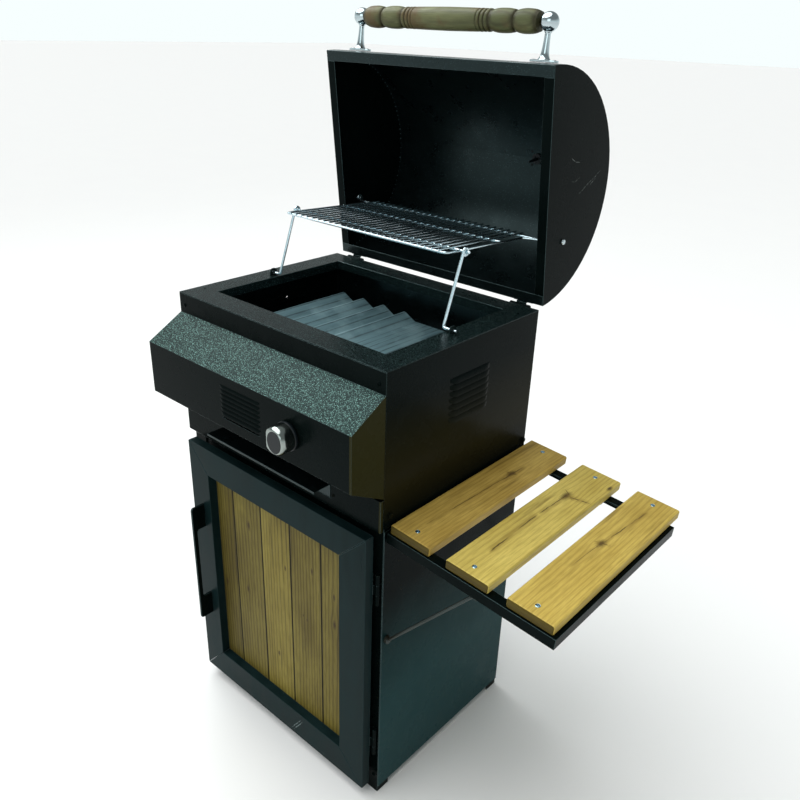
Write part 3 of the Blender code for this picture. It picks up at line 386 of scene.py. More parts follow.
def heat_steel(name):
    """Dull coated sheet, streaked along its ridges, with painted shade in fine dark lines along its
    folds, and a burnt spot by the last ridge.
    """
    t = Tree.new(name, (0.24, 0.29, 0.30), 0.75, 0.45)
    streak = t.noise(60, 5, t.stretched((1, 0.08, 1)))
    tone = t.mix(t.spread(streak, 0.3, 0.7), (0.24, 0.40, 0.44), (0.08, 0.145, 0.165))
    folds = t.math("SINE", t.times(t.axis(0), math.tau / RIDGE_PITCH))
    wavering = t.plus(folds, t.times(t.noise(40, 3), 0.6))
    # Painted shade: fine dark lines along the folds.
    tone = t.mix(t.spread(wavering, 1.0, 1.3, 0.0, 0.75), tone, (0.035, 0.060, 0.068))
    dusty = t.spread(t.noise(16, 5), 0.45, 0.7)
    tone = t.mix(t.times(dusty, 0.6), tone, (0.36, 0.54, 0.58))
    burn = MIDDLE + Vector((0.030, -0.055, 0))
    dx = t.minus(t.axis(0), burn.x)
    dy = t.minus(t.axis(1), burn.y)
    gap = t.distance(dx, dy)
    gap = t.plus(gap, t.waver(90, 4, 0.02))
    tone = t.mix(t.spread(gap, 0.030, 0.006, 0.0, 0.85), tone, (0.020, 0.018, 0.014))
    t.set("Base Color", tone)
    t.set("Roughness", t.spread(streak, 0.3, 0.8, 0.34, 0.6))
    t.bump(t.noise(240, 3), 0.0002, 0.5)
    return t.material


def plain(name, colour, roughness):
    """A moulded or painted small part: slight mottling and a fine grain."""
    t = Tree.new(name, colour, 0.0, roughness)
    t.set("Base Color", t.mix(t.noise(90, 3), colour, [0.7 * c for c in colour]))
    t.set("Specular IOR Level", 0.2)
    t.bump(t.noise(300, 2), 0.0001, 0.4)
    return t.material


PINES = {
    "inner": [(0.55, 0.380, 0.090), (0.38, 0.245, 0.048), (0.19, 0.105, 0.018)],
    "middle": [(0.68, 0.540, 0.140), (0.50, 0.375, 0.078), (0.25, 0.155, 0.026)],
    "outer": [(0.61, 0.455, 0.110), (0.45, 0.315, 0.062), (0.23, 0.135, 0.022)],
}
BOARD = [(0.185, 0.148, 0.030), (0.110, 0.083, 0.014), (0.040, 0.026, 0.004)]
END_GRAIN = [(0.090, 0.064, 0.006), (0.064, 0.044, 0.004), (0.026, 0.016, 0.002)]
TURNED = [(0.200, 0.205, 0.100), (0.085, 0.095, 0.042), (0.025, 0.020, 0.007)]

PAINT = panel_paint("panel_paint")
# The inside paint carries the painted glints.
INSIDE = panel_paint("inner_paint", (0.0012, 0.0026, 0.0028), 0.24, 0.32, 0.8)
# The weld beads' lighter paint is a painted highlight along the seam.
SEAM = panel_paint("seam_paint", (0.060, 0.095, 0.100), 0.25, 0.8)
STAY = panel_paint("stay_paint", (0.012, 0.009, 0.005), 0.30, 0.5)
HAMMER = hammer_paint("hammer_paint")
RIM_PAINT = hammer_paint("rim_paint", (0.0032, 0.0066, 0.0066), (0.12, 0.22, 0.21), 0.06, 0.58)
SLATE = slate_paint("door_paint")
CABINET = cabinet_paint("cabinet_paint")
CHROME = metal("chrome", (0.52, 0.61, 0.64), 0.07)
# Lighter, shinier paint for the rounded edges: a painted edge highlight, on the black and on the door's
# slate.
EDGE = panel_paint("edge_paint", (0.012, 0.022, 0.022), 0.20, 0.70)
DOOR_EDGE = slate_paint("door_edge_paint", (0.020, 0.036, 0.038))
EDGE_HIGHLIGHT_PAINTS = ("panel_paint", "rim_paint", "inner_paint", "cabinet_paint", "lid_end_paint")
ZINC = metal("zinc", (0.55, 0.60, 0.63), 0.24)
STEEL = heat_steel("heat_plate_steel")
KNOB_METAL = metal("knob_metal", (0.33, 0.37, 0.35), 0.13, 0.04)
BRASS = metal("brass", (0.60, 0.42, 0.16), 0.28)
PLASTIC = plain("black_plastic", (0.0040, 0.0070, 0.0090), 0.30)
BLUE_ZINC = metal("blue_zinc", (0.40, 0.58, 0.66), 0.22)
WIRE_CHROME = metal("wire_chrome", (0.62, 0.76, 0.82), 0.20)
DIAL = plain("dial_face", (0.72, 0.72, 0.68), 0.5)


# Building blocks


def smooth(obj, degrees=40):
    obj.data.shade_smooth()
    obj.data.set_sharp_from_angle(angle=math.radians(degrees))
    return obj


def piece(name, obj, body, place, material):
    """Names a finished object, gives it its material or list of materials, and puts it on its body.
    With None it keeps the materials that it has."""
    obj.name = name
    if material is not None:
        obj.data.materials.clear()
        for finish in material if isinstance(material, list) else [material]:
            obj.data.materials.append(finish)
    obj.matrix_world = place @ obj.matrix_world
    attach(obj, body)
    return obj


def link(mesh):
    obj = bpy.data.objects.new("part", mesh)
    bpy.context.scene.collection.objects.link(obj)
    return obj


def from_bmesh(shape):
    bmesh.ops.remove_doubles(shape, verts=shape.verts, dist=1e-6)
    bmesh.ops.recalc_face_normals(shape, faces=shape.faces)
    mesh = bpy.data.meshes.new("part")
    shape.to_mesh(mesh)
    shape.free()
    return link(mesh)


def evaluated(obj):
    """The mesh of an object with its modifiers applied."""
    graph = bpy.context.evaluated_depsgraph_get()
    return bpy.data.meshes.new_from_object(obj.evaluated_get(graph))


def baked(obj):
    """Turns a curve or a mesh with modifiers into a plain welded mesh."""
    mesh = evaluated(obj)
    mesh.transform(obj.matrix_world)
    bpy.data.objects.remove(obj)
    shape = bmesh.new()
    shape.from_mesh(mesh)
    bpy.data.meshes.remove(mesh)
    return from_bmesh(shape)


PLANES = {
    "XY": Matrix(((1, 0, 0), (0, 1, 0), (0, 0, 1))),
    "XZ": Matrix(((1, 0, 0), (0, 0, -1), (0, 1, 0))),
    "YZ": Matrix(((0, 0, 1), (1, 0, 0), (0, 1, 0))),
}


def plate(outlines, plane, low, high, edge=0.0, segments=2):
    """A flat piece between low and high along the plane's normal, with rounded edges."""
    curve = bpy.data.curves.new("plate", "CURVE")
    curve.dimensions = "2D"
    curve.fill_mode = "BOTH"
    curve.extrude = (high - low) / 2
    for outline in outlines:
        spline = curve.splines.new("POLY")
        spline.points.add(len(outline) - 1)
        for point, (a, b) in zip(spline.points, outline):
            point.co = (a, b, 0, 1)
        spline.use_cyclic_u = True
    obj = link(curve)
    normal = PLANES[plane] @ Vector((0, 0, 1))
    middle = (low + high) / 2 * Vector([abs(c) for c in normal])
    obj.matrix_world = Matrix.Translation(middle) @ PLANES[plane].to_4x4()
    bpy.context.view_layer.update()
    made = baked(obj)
    return rounded(made, edge, segments) if edge else made


def rounded(obj, width, segments=2, edge_slot=-1):
    """Rounds the sharp edges, and keeps the flat faces shaded flat. The rounding can have its own
    material slot, for lighter paint that is a painted edge highlight."""
    obj.data.shade_smooth()
    obj.data.set_sharp_from_angle(angle=math.radians(32))
    bevel = obj.modifiers.new("edges", "BEVEL")
    bevel.width = width
    bevel.segments = segments
    bevel.limit_method = "ANGLE"
    bevel.angle_limit = math.radians(32)
    bevel.material = edge_slot
    weigh = obj.modifiers.new("normals", "WEIGHTED_NORMAL")
    weigh.keep_sharp = True
    weigh.weight = 100
    mesh = evaluated(obj)
    bpy.data.objects.remove(obj)
    return link(mesh)


def block(low, high, edge=0.0, segments=2):
    shape = bmesh.new()
    bmesh.ops.create_cube(shape, size=1)
    for vert in shape.verts:
        vert.co = [b if c > 0 else a for a, b, c in zip(low, high, vert.co)]
    made = from_bmesh(shape)
    return rounded(made, edge, segments) if edge else made


def wire(points, radius, sides=3, cyclic=False):
    """A smooth round bar along points."""
    curve = bpy.data.curves.new("wire", "CURVE")
    curve.dimensions = "3D"
    curve.bevel_depth = radius
    curve.bevel_resolution = sides
    curve.use_fill_caps = True
    spline = curve.splines.new("POLY")
    spline.points.add(len(points) - 1)
    for point, place in zip(spline.points, points):
        point.co = (*place, 1)
    spline.use_cyclic_u = cyclic
    return smooth(baked(link(curve)), 60)


def turned(profile, place, steps=48, ring=False):
    """A lathe-turned piece from (radius, height) pairs."""
    mesh = bpy.data.meshes.new("profile")
    count = len(profile)
    edges = [(i, i + 1) for i in range(count - 1)] + ([(count - 1, 0)] if ring else [])
    mesh.from_pydata([(r, 0, h) for r, h in profile], edges, [])
    obj = link(mesh)
    screw = obj.modifiers.new("turn", "SCREW")
    screw.steps = screw.render_steps = steps
    screw.use_merge_vertices = True
    screw.merge_threshold = 1e-6
    made = baked(obj)
    made.data.transform(place)
    shape = bmesh.new()
    shape.from_mesh(made.data)
    bmesh.ops.recalc_face_normals(shape, faces=shape.faces)
    shape.to_mesh(made.data)
    shape.free()
    return smooth(made, 35)


def along(axis, centre):
    """Where a turned piece goes, to stand on an axis."""
    turn = {"X": Matrix.Rotation(math.pi / 2, 4, "Y"), "Y": Matrix.Rotation(-math.pi / 2, 4, "X")}
    return Matrix.Translation(centre) @ turn[axis]


def joined(objects):
    """Several meshes as one."""
    shape = bmesh.new()
    for obj in objects:
        mesh = obj.data.copy()
        mesh.transform(obj.matrix_world)
        shape.from_mesh(mesh)
        bpy.data.meshes.remove(mesh)
        bpy.data.objects.remove(obj)
    made = bpy.data.meshes.new("joined")
    shape.to_mesh(made)
    shape.free()
    obj = link(made)
    return smooth(obj, 40)


def oval(a, b, wide, high, steps):
    turns = [i * math.tau / steps for i in range(steps)]
    return [(a + wide * math.cos(t), b + high * math.sin(t)) for t in turns]


def screw_head(radius, height, cross=0.0):
    """A domed screw head on +Z, with a cross recess if cross, its half width, is given."""
    profile = [(0, height)]
    for i in range(1, 7):
        t = i * math.pi / 12
        profile.append((radius * math.sin(t), height * math.cos(t) ** 0.7 if i < 6 else 0.0004))
    profile += [(radius, 0), (0, 0)]
    made = turned(profile, Matrix.Identity(4), 24)
    if cross:
        for turn in (0, math.pi / 2):
            bar = block((-cross, -cross * 0.22, height * 0.35), (cross, cross * 0.22, height * 2))
            bar.data.transform(Matrix.Rotation(turn + 0.4, 4, "Z"))
            carve(made, bar)
        made = smooth(baked(made), 30)
    return made


def carve(obj, cutter):
    """Takes the cutter out of an object and removes the cutter."""
    cut = obj.modifiers.new("cut", "BOOLEAN")
    cut.operation = "DIFFERENCE"
    cut.solver = "EXACT"
    cut.object = cutter
    bpy.context.view_layer.update()
    mesh = evaluated(obj)
    obj.modifiers.clear()
    obj.data = mesh
    bpy.data.objects.remove(cutter)


def scattered(name, master, places, body, slot, place, material):
    """Copies of a small part at several places, as one piece."""
    copies = []
    for spot in places:
        copy = link(master.data.copy())
        copy.matrix_world = spot
        copies.append(copy)
    bpy.data.objects.remove(master)
    bpy.context.view_layer.update()
    return piece(name, joined(copies), body, place, material)


# Sheet metal: the CAD shapes with their edges rounded and their curves shaded smooth


def refined(node, material, body, edge=0.0004):
    """Stands for a CAD node with the same shape, welded and with its edges rounded."""
    shape = bmesh.new()
    shape.from_mesh(frame["nodes"][node].data)
    bmesh.ops.remove_doubles(shape, verts=shape.verts, dist=1e-6)
    flat = math.radians(0.3)
    bmesh.ops.dissolve_limit(shape, angle_limit=flat, verts=shape.verts, edges=shape.edges)
    obj = from_bmesh(shape)
    # Slot 1, the rounded edges, takes lighter paint as a painted edge highlight.
    for paint in (material, EDGE if material.name in EDGE_HIGHLIGHT_PAINTS else material):
        obj.data.materials.append(paint)
    obj = rounded(obj, edge, 2, 1) if edge else smooth(obj, 32)
    made = piece("look_" + node, obj, body, Matrix.Identity(4), None)
    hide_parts(node)
    return made


def each(body, material, nodes, edge=0.0004):
    for node in nodes:
        refined(node, material, body, edge)


def scratched_paint(name, axes, scratches):
    """Gloss black paint with fine grey scratches."""
    material = panel_paint(name)
    t = Tree(material)
    colour = t.linked("Base Color")
    for start, end, width in scratches:
        colour = t.mix(segment_mark(t, axes, start, end, width), colour, SCRATCH)
    t.set("Base Color", colour)
    return material


def cabinet():
    legs = [f"cabinet_leg_{end}_{side}" for end in ("front", "rear") for side in ("left", "right")]
    each("cart", PAINT, legs)
    sides = ["cabinet_side_left", "cabinet_side_right", "cabinet_back"]
    each("cart", CABINET, sides)
    each("cart", PAINT, ["cabinet_floor", "cabinet_top_frame"])
    hinges = ["cabinet_hinge_leaf_upper", "cabinet_hinge_leaf_lower"]
    each("cart", PAINT, hinges)
    each("cart", PLASTIC, ["door_magnet"], 0.001)


def firebox():
    each("cart", PAINT, ["firebox_side_left", "firebox_side_right", "firebox_front"])
    each("cart", INSIDE, ["firebox_back", "firebox_base"])
    each("cart", RIM_PAINT, ["firebox_rim"])
    each("cart", PAINT, ["tray_surround", "tray_runner_left", "tray_runner_right"])
    each("cart", STEEL, ["heat_plate"], 0.0003)
    each("cart", ZINC, ["burner_tube"], 0.0)
    each("cart", BRASS, ["gas_valve"], 0.0)
    each("stem", ZINC, ["valve_stem"], 0.0)
    each("cart", PAINT, ["body_hinge_leaf_left", "body_hinge_leaf_right"])
    each("tray", INSIDE, ["drip_tray"], 0.0003)
    panel = refined("control_panel", PAINT, "cart")
    panel.data.materials.append(HAMMER)
    for face in panel.data.polygons:
        if face.material_index == 0 and face.normal.z > 0.5 and face.normal.y < -0.2:
            face.material_index = 2


# Louvres


def hood(length, height, depth, ends=2.6):
    """A pressed louvre, joined to the sheet along its top and open below. X along, Y up, Z out."""
    shape = bmesh.new()
    columns, rows = 22, 6
    grid = []
    for i in range(columns + 1):
        u = i / columns
        full = min(1.0, math.sin(math.pi * u) * ends) if 0 < i < columns else 0.0
        column = []
        for j in range(rows + 1):
            v = j / rows
            out = depth * math.sqrt(full) * math.sin(v * math.pi / 2) ** 0.8
            down = height * (1 - v * (0.45 + 0.55 * math.sqrt(full)))
            column.append(shape.verts.new(((u - 0.5) * length, down, out + 0.0002)))
        grid.append(column)
    for left, right in zip(grid, grid[1:]):
        for j in range(rows):
            shape.faces.new((left[j], left[j + 1], right[j + 1], right[j]))
    sheet = from_bmesh(shape)
    thick = sheet.modifiers.new("thick", "SOLIDIFY")
    thick.thickness = 0.0009
    thick.offset = -1
    return smooth(baked(sheet), 45)


def louvres():
    """The pressed hoods over the slots of both sides and of the panel."""
    for side, tag in ((1, "right"), (-1, "left")):
        turn = Matrix(((0, 0, side, 0), (side, 0, 0, 0), (0, 1, 0, 0), (0, 0, 0, 1)))
        spots = []
        for i in range(LOUVRES):
            centre = (side * HALF, 0.005, SIDE_LOUVRE_LOW + i * SIDE_LOUVRE_PITCH - 0.0045)
            spots.append(Matrix.Translation(centre) @ turn)
        master = hood(0.104, 0.0105, 0.0036)
        scattered(f"side_louvres_{tag}", master, spots, "cart", "black_paint", STILL, PAINT)
    turn = Matrix(((1, 0, 0, 0), (0, 0, -1, 0), (0, 1, 0, 0), (0, 0, 0, 1)))
    spots = []
    for i in range(LOUVRES):
        centre = (0, PANEL_LOW.y, FRONT_LOUVRE_LOW + i * FRONT_LOUVRE_PITCH - 0.0016)
        spots.append(Matrix.Translation(centre) @ turn)
    master = hood(0.100, 0.0058, 0.0022, 5)
    scattered("panel_louvres", master, spots, "cart", "black_paint", STILL, PAINT)


# Door


def mitred_frame():
    """Four members with a fine open line at each mitre."""
    low, high = [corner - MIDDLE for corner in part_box("door_frame")]
    outer = (low.x, low.z, high.x, high.z)
    wide, play = 0.0570, 0.0025
    inner = (low.x + wide - play, low.z + wide + play, high.x - wide - play, high.z - wide)
    corners = [[(b[0], b[1]), (b[2], b[1]), (b[2], b[3]), (b[0], b[3])] for b in (outer, inner)]
    members = []
    for i in range(4):
        j = (i + 1) % 4
        a, b = Vector(corners[0][i]), Vector(corners[0][j])
        c, d = Vector(corners[1][j]), Vector(corners[1][i])
        run = (b - a).normalized() * 0.00025
        outline = [a + run, b - run, c - run, d + run]
        member = plate([outline], "XZ", low.y, high.y)
        # The door's rounded edges take lighter slate paint, a painted edge highlight.
        for paint in (SLATE, DOOR_EDGE):
            member.data.materials.append(paint)
        members.append(rounded(member, 0.0011, 3, 1))
    made = piece("door_frame_members", joined_keeping(members), "door", STILL, None)
    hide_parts("door_frame")


def joined_keeping(objects):
    """Several rounded meshes as one, keeping their own shading."""
    first = objects[0]
    with bpy.context.temp_override(active_object=first, selected_editable_objects=objects):
        bpy.ops.object.join()
    return first


BOARD_KNOTS = [
    [(-0.165, 0.270, 0.0045)],
    [(-0.084, 0.443, 0.0060), (-0.097, 0.288, 0.0050)],
    [(0.018, 0.399, 0.0032), (-0.010, 0.180, 0.0040)],
    [(0.064, 0.318, 0.0020), (0.074, 0.3125, 0.0020), (0.090, 0.430, 0.0040)],
    [(0.145, 0.405, 0.0040), (0.146, 0.345, 0.0055)],
]


def boards():
    for i in range(5):
        node = f"door_board_{i + 1}"
        low, high = [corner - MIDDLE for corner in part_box(node)]
        shade = (0.80, 0.92, 1.25, 1.0, 0.95)[i]
        tones = [[c * shade for c in tone] for tone in BOARD]
        seams = (low.x, high.x)
        stuff = wood(f"board_wood_{i + 1}", tones, 2, BOARD_KNOTS[i], 0.37 * i, 0.5, (), seams, 0.95)
        made = block(low, high, 0.0014, 3)
        made = piece(f"door_board_look_{i + 1}", made, "door", STILL, stuff)
        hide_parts(node)


def door():
    mitred_frame()
    boards()
    each("door", PAINT, ["door_handle"], 0.0006)
    each("door", PAINT, ["door_hinge_leaf_upper", "door_hinge_leaf_lower"])


# Side shelf


SLAT_KNOTS = [
    [(0.296, 0.085, 0.0065)],
    [(0.398, 0.100, 0.0085), (0.438, 0.178, 0.0045)],
    [(0.505, 0.030, 0.0070)],
]
SLAT_CRACKS = [
    [((0.290, -0.140), (0.296, 0.060), 0.0010), ((0.296, 0.050), (0.299, 0.125), 0.0014),
     ((0.286, 0.082), (0.307, 0.090), 0.0009)],
    [((0.398, -0.120), (0.394, 0.020), 0.0016), ((0.395, 0.020), (0.398, 0.110), 0.0012),
     ((0.399, 0.100), (0.441, 0.112), 0.0016), ((0.386, 0.118), (0.412, 0.096), 0.0009)],
    [((0.500, -0.060), (0.504, 0.030), 0.0008), ((0.506, 0.030), (0.516, 0.165), 0.0012),
     ((0.492, 0.026), (0.520, 0.036), 0.0013)],
]


def slats():
    names = ("inner", "middle", "outer")
    end_grain = wood("end_grain", END_GRAIN, 0)
    for i, name in enumerate(names):
        node = "shelf_slat_" + name
        low, high = local_box(node, SHELF)
        seed = 0.53 * i + 0.21
        stuff = wood(f"slat_wood_{name}", PINES[name], 1, SLAT_KNOTS[i], seed, cracks=SLAT_CRACKS[i])
        slat = block(low, high, 0.0035, 4)
        made = piece(f"{node}_look", slat, "cart", SHELF, [stuff, end_grain])
        for face in slat.data.polygons:
            face.material_index = 1 if abs(face.normal.y) > 0.8 else 0
        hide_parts(node)


def shelf_screws():
    spots = []
    for i in range(3):
        x = SHELF_X + 0.0395 + i * 0.110
        low, high = local_box("shelf_slat_middle", SHELF)
        for y in (low.y + 0.019, high.y - 0.023):
            turn = Matrix.Rotation(i + y * 9, 4, "Z")
            spots.append(Matrix.Translation((x, y, SLAT_TOP - 0.0001)) @ turn)
    master = screw_head(0.0040, 0.0009, 0.0022)
    scattered("slat_screws", master, spots, "cart", "zinc_steel", SHELF, BLUE_ZINC)


def shelf():
    slats()
    shelf_screws()
    each("cart", PAINT, ["shelf_frame"])
    each("cart", STAY, ["shelf_stay_front", "shelf_stay_rear"], 0.0)


# Lid


def lid_seam(side):
    """The line of small welds between the shell and an end."""
    low, high = local_box("lid_shell", LID)
    radius = (high.y - low.y) / 2 - 0.0022
    x = side * (HALF - 0.0046)
    spots = []
    for i in range(61):
        t = math.radians(3 + 174 * i / 60)
        centre = Vector((x, radius * math.cos(t), low.z + radius * math.sin(t)))
        size = 0.55 + 0.45 * RNG.random()
        turn = Matrix.Rotation(t, 4, "X")
        spots.append(Matrix.Translation(centre) @ turn @ Matrix.Diagonal((size, 2.6 * size, size, 1)))
    bead = [(0, 0.0011), (0.0008, 0.0007), (0.0011, 0), (0.0008, -0.0007), (0, -0.0011)]
    master = turned(bead, Matrix.Identity(4), 10)
    tag = "right" if side > 0 else "left"
    scattered(f"lid_seam_{tag}", master, spots, "lid", "black_paint", LID, SEAM)


def profile_curve(points, steps=4):
    """A smooth curve through (radius, height) points, by Catmull-Rom."""
    made = []
    last = len(points) - 1
    for i in range(last):
        a, b, c, d = [Vector(points[max(0, min(last, k))]) for k in (i - 1, i, i + 1, i + 2)]
        for j in range(steps):
            t = j / steps
            bend = 2 * b + (c - a) * t + (2 * a - 5 * b + 4 * c - d) * t * t
            made.append((bend + (3 * b - a - 3 * c + d) * t ** 3) * 0.5)
    return [tuple(p) for p in made] + [tuple(points[-1])]


GRIP_HALF = [
    (1.00, 0), (0.985, 0.18), (0.965, 0.33), (0.955, 0.362), (0.905, 0.370), (0.905, 0.378),
    (0.955, 0.386), (0.955, 0.402), (0.850, 0.412), (0.935, 0.424), (0.950, 0.436), (0.935, 0.447),
    (0.850, 0.457), (0.935, 0.468), (0.950, 0.480), (0.930, 0.492), (0.845, 0.506), (0.90, 0.528),
    (0.97, 0.565), (1.00, 0.61), (0.99, 0.68), (0.93, 0.730), (0.88, 0.750), (0.79, 0.764),
    (0.88, 0.778), (0.94, 0.800), (1.00, 0.85), (0.985, 0.91), (0.93, 0.955), (0.80, 0.995),
]


def handle():
    low, high = local_box("lid_handle_grip", LID)
    middle = (low + high) / 2
    radius, half = (high.y - low.y) / 2, (high.x - low.x) / 2
    side = profile_curve([(radius * a, half * b) for a, b in GRIP_HALF])
    bore = [(0.0044, half), (0.0044, half - 0.02), (0, half - 0.02)]
    ends = [(0, 0.02 - half), (0.0044, 0.02 - half), (0.0044, -half)]
    profile = ends + [(a, -b) for a, b in side[::-1]] + side[1:] + bore
    grip = turned(profile, along("X", middle), 72)
    stuff = turned_wood("grip_wood", middle, radius)
    made = piece("handle_grip", grip, "lid", LID, stuff)
    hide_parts("lid_handle_grip")
    posts(middle)


def turned_wood(name, middle, radius):
    """Stained turned wood: long grain, fine lines round it from the lathe, and painted shade down in
    its grooves.
    """
    material = wood(name, TURNED, 0, (), 0.4, 0.38)
    t = Tree(material)
    dy = t.minus(t.axis(1), middle.y)
    dz = t.minus(t.axis(2), middle.z)
    out = t.distance(dy, dz)
    colour = t.linked("Base Color")
    stained = t.mix(t.spread(t.noise(22, 4), 0.46, 0.62, 0.0, 0.7), colour, (0.105, 0.062, 0.028))
    # Painted shade: darker the deeper a groove goes.
    groove_shade = t.spread(out, radius * 0.95, radius * 0.86, 0.0, 0.75)
    t.set("Base Color", t.mix(groove_shade, stained, (0.020, 0.015, 0.007)))
    normal = t.linked("Normal")
    lathe = t.noise(1500, 2, t.stretched((1, 0.02, 0.02)))
    t.bump(lathe, 0.0003, 0.5, normal)
    return material


def posts(middle):
    """Chrome posts: an oval foot on the lid, a tapered stem and a ball that holds the grip's end."""
    half_turn = [math.pi * i / 24 for i in range(25)]
    for side, tag in ((1, "right"), (-1, "left")):
        x = side * HALF * 0.804
        place = Matrix.Translation(foot_of_handle(x)) @ HANDLE_TURN
        reach = (Vector((x, middle.y, middle.z)) - foot_of_handle(x)).length
        ball = [(0.015 * math.sin(t), reach + 0.015 * math.cos(t)) for t in half_turn]
        parts = [turned([(0, reach + 0.015)] + ball[1:-1] + [(0, reach - 0.015)], place, 48)]
        stem = profile_curve([(0.0046, reach - 0.010), (0.0050, reach * 0.55), (0.0062, reach * 0.28),
                              (0.0080, 0.0085), (0.0105, 0.0045), (0.0108, 0.0030)])
        collar = [(0, reach - 0.008), (0.0058, reach - 0.010), (0.0064, reach - 0.0125),
                  (0.0058, reach - 0.015), (0.0046, reach - 0.016)]
        parts.append(turned(collar + stem[2:] + [(0, 0.0030)], place, 40))
        parts.append(oval_foot(place))
        made = piece(f"handle_post_{tag}", joined(parts), "lid", LID, CHROME)
        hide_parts(f"lid_handle_post_{tag}")
        spots = [place @ Matrix.Translation((a, 0, 0.0038)) for a in (-0.0185, 0.0185)]
        master = screw_head(0.0034, 0.0014, 0.0019)
        scattered(f"post_screws_{tag}", master, spots, "lid", "zinc_steel", LID, ZINC)


def foot_of_handle(x):
    """Where a post stands on the closed lid."""
    low, high = local_box("lid_shell", LID)
    radius = (high.y - low.y) / 2
    return Vector((x, 0, low.z)) + HANDLE_TURN @ Vector((0, 0, radius + 0.0001))


def oval_foot(place):
    foot = plate([oval(0, 0, 0.026, 0.011, 48)], "XY", 0.0008, 0.0040, 0.0010, 3)
    foot.data.transform(place)
    return foot


def gauge():
    """The gauge on the crown: a case and pale dial with tick marks outside, a nut and probe inside."""
    low, high = local_box("lid_temperature_gauge", LID)
    case = refined("lid_temperature_gauge", CHROME, "lid", 0.0)
    case.data.materials.append(PLASTIC)
    back = LID.inverted()
    for face in case.data.polygons:
        face.material_index = 2 if (back @ face.center).z < shell_under(0) + 0.001 else 0
    centre = ((low.x + high.x) / 2, (low.y + high.y) / 2, high.z)
    place = Matrix.Translation(centre)
    dial = turned([(0, 0.0002), (0.0200, 0.0002), (0.0200, -0.0006), (0, -0.0006)], place, 64)
    piece("gauge_dial", dial, "lid", LID, DIAL)
    gauge_marks(place)
    inward = Matrix.Rotation(math.pi, 4, "X")
    spots = []
    for a, b in ((1, 1), (1, -1), (-1, 1), (-1, -1)):
        x, y = centre[0] + 0.012 * a, centre[1] + 0.012 * b
        spots.append(Matrix.Translation((x, y, shell_under(y))) @ inward)
    master = screw_head(0.0026, 0.0012, 0.0015)
    scattered("gauge_screws", master, spots, "lid", "black_paint", LID, PLASTIC)


def gauge_marks(place):
    """Ticks all round the dial, longer at every fourth, and a needle on its hub."""
    ticks = []
    for i in range(25):
        turn = Matrix.Rotation(math.radians(-135 + 11.25 * i), 4, "Z")
        long = 0.0028 if i % 4 == 0 else 0.0016
        tick = block((-0.00025, 0.0185 - long, 0.0001), (0.00025, 0.0185, 0.00045))
        tick.data.transform(place @ turn)
        ticks.append(tick)
    outline = [(-0.0009, -0.004), (0.0009, -0.004), (0.0002, 0.0150), (-0.0002, 0.0150)]
    needle = plate([outline], "XY", 0.0004, 0.0008)
    needle.data.transform(place @ Matrix.Rotation(2.3, 4, "Z"))
    hub = turned([(0, 0.0014), (0.0018, 0.0012), (0.0022, 0.0003), (0, 0.0003)], place, 24)
    piece("gauge_marks", joined([*ticks, needle, hub]), "lid", LID, PLASTIC)


def shell_under(y):
    """The height of the shell's inside over y, on the closed lid."""
    low, high = local_box("lid_shell", LID)
    radius = (high.y - low.y) / 2 - 0.0016
    return low.z + math.sqrt(radius * radius - y * y)


# Marks on the right end, as points in the frame's own y and z.
LID_MARKS = [
    ((0.227, 1.041), (0.301, 1.078)), ((0.262, 1.053), (0.286, 1.066)),
    ((0.194, 1.107), (0.210, 1.099)), ((0.209, 1.099), (0.224, 1.098)),
    ((0.203, 1.069), (0.215, 1.066)), ((0.214, 1.066), (0.231, 1.072)),
]


def lid():
    ends = scratched_paint("lid_end_paint", (1, 2), [(start, end, 0.0006) for start, end in LID_MARKS])
    each("lid", INSIDE, ["lid_shell"], 0.0004)
    each("lid", ends, ["lid_end_right"], 0.0004)
    each("lid", PAINT, ["lid_end_left"], 0.0004)
    each("lid", PAINT, ["lid_hinge_leaf_left", "lid_hinge_leaf_right"])
    each("lid", CHROME, ["rack_pivot_bolt_left", "rack_pivot_bolt_right"], 0.0003)
    for side in (1, -1):
        lid_seam(side)
    handle()
    gauge()


# Warming rack and its legs


def rack_point(x, reach, lift=0.0):
    run = Vector((0, -math.cos(RACK_SLOPE), math.sin(RACK_SLOPE)))
    up = Vector((0, math.sin(RACK_SLOPE), math.cos(RACK_SLOPE)))
    return PIVOT + Vector((x, 0, 0)) + run * reach + up * lift


def eased(points, rounds=2):
    """Corners cut twice, so that a wire bends softly. The ends stay."""
    points = [Vector(p) for p in points]
    for _ in range(rounds):
        cut = [points[0]]
        for a, b in zip(points, points[1:]):
            cut += [a.lerp(b, 0.25), a.lerp(b, 0.75)]
        points = cut + [points[-1]]
    return points


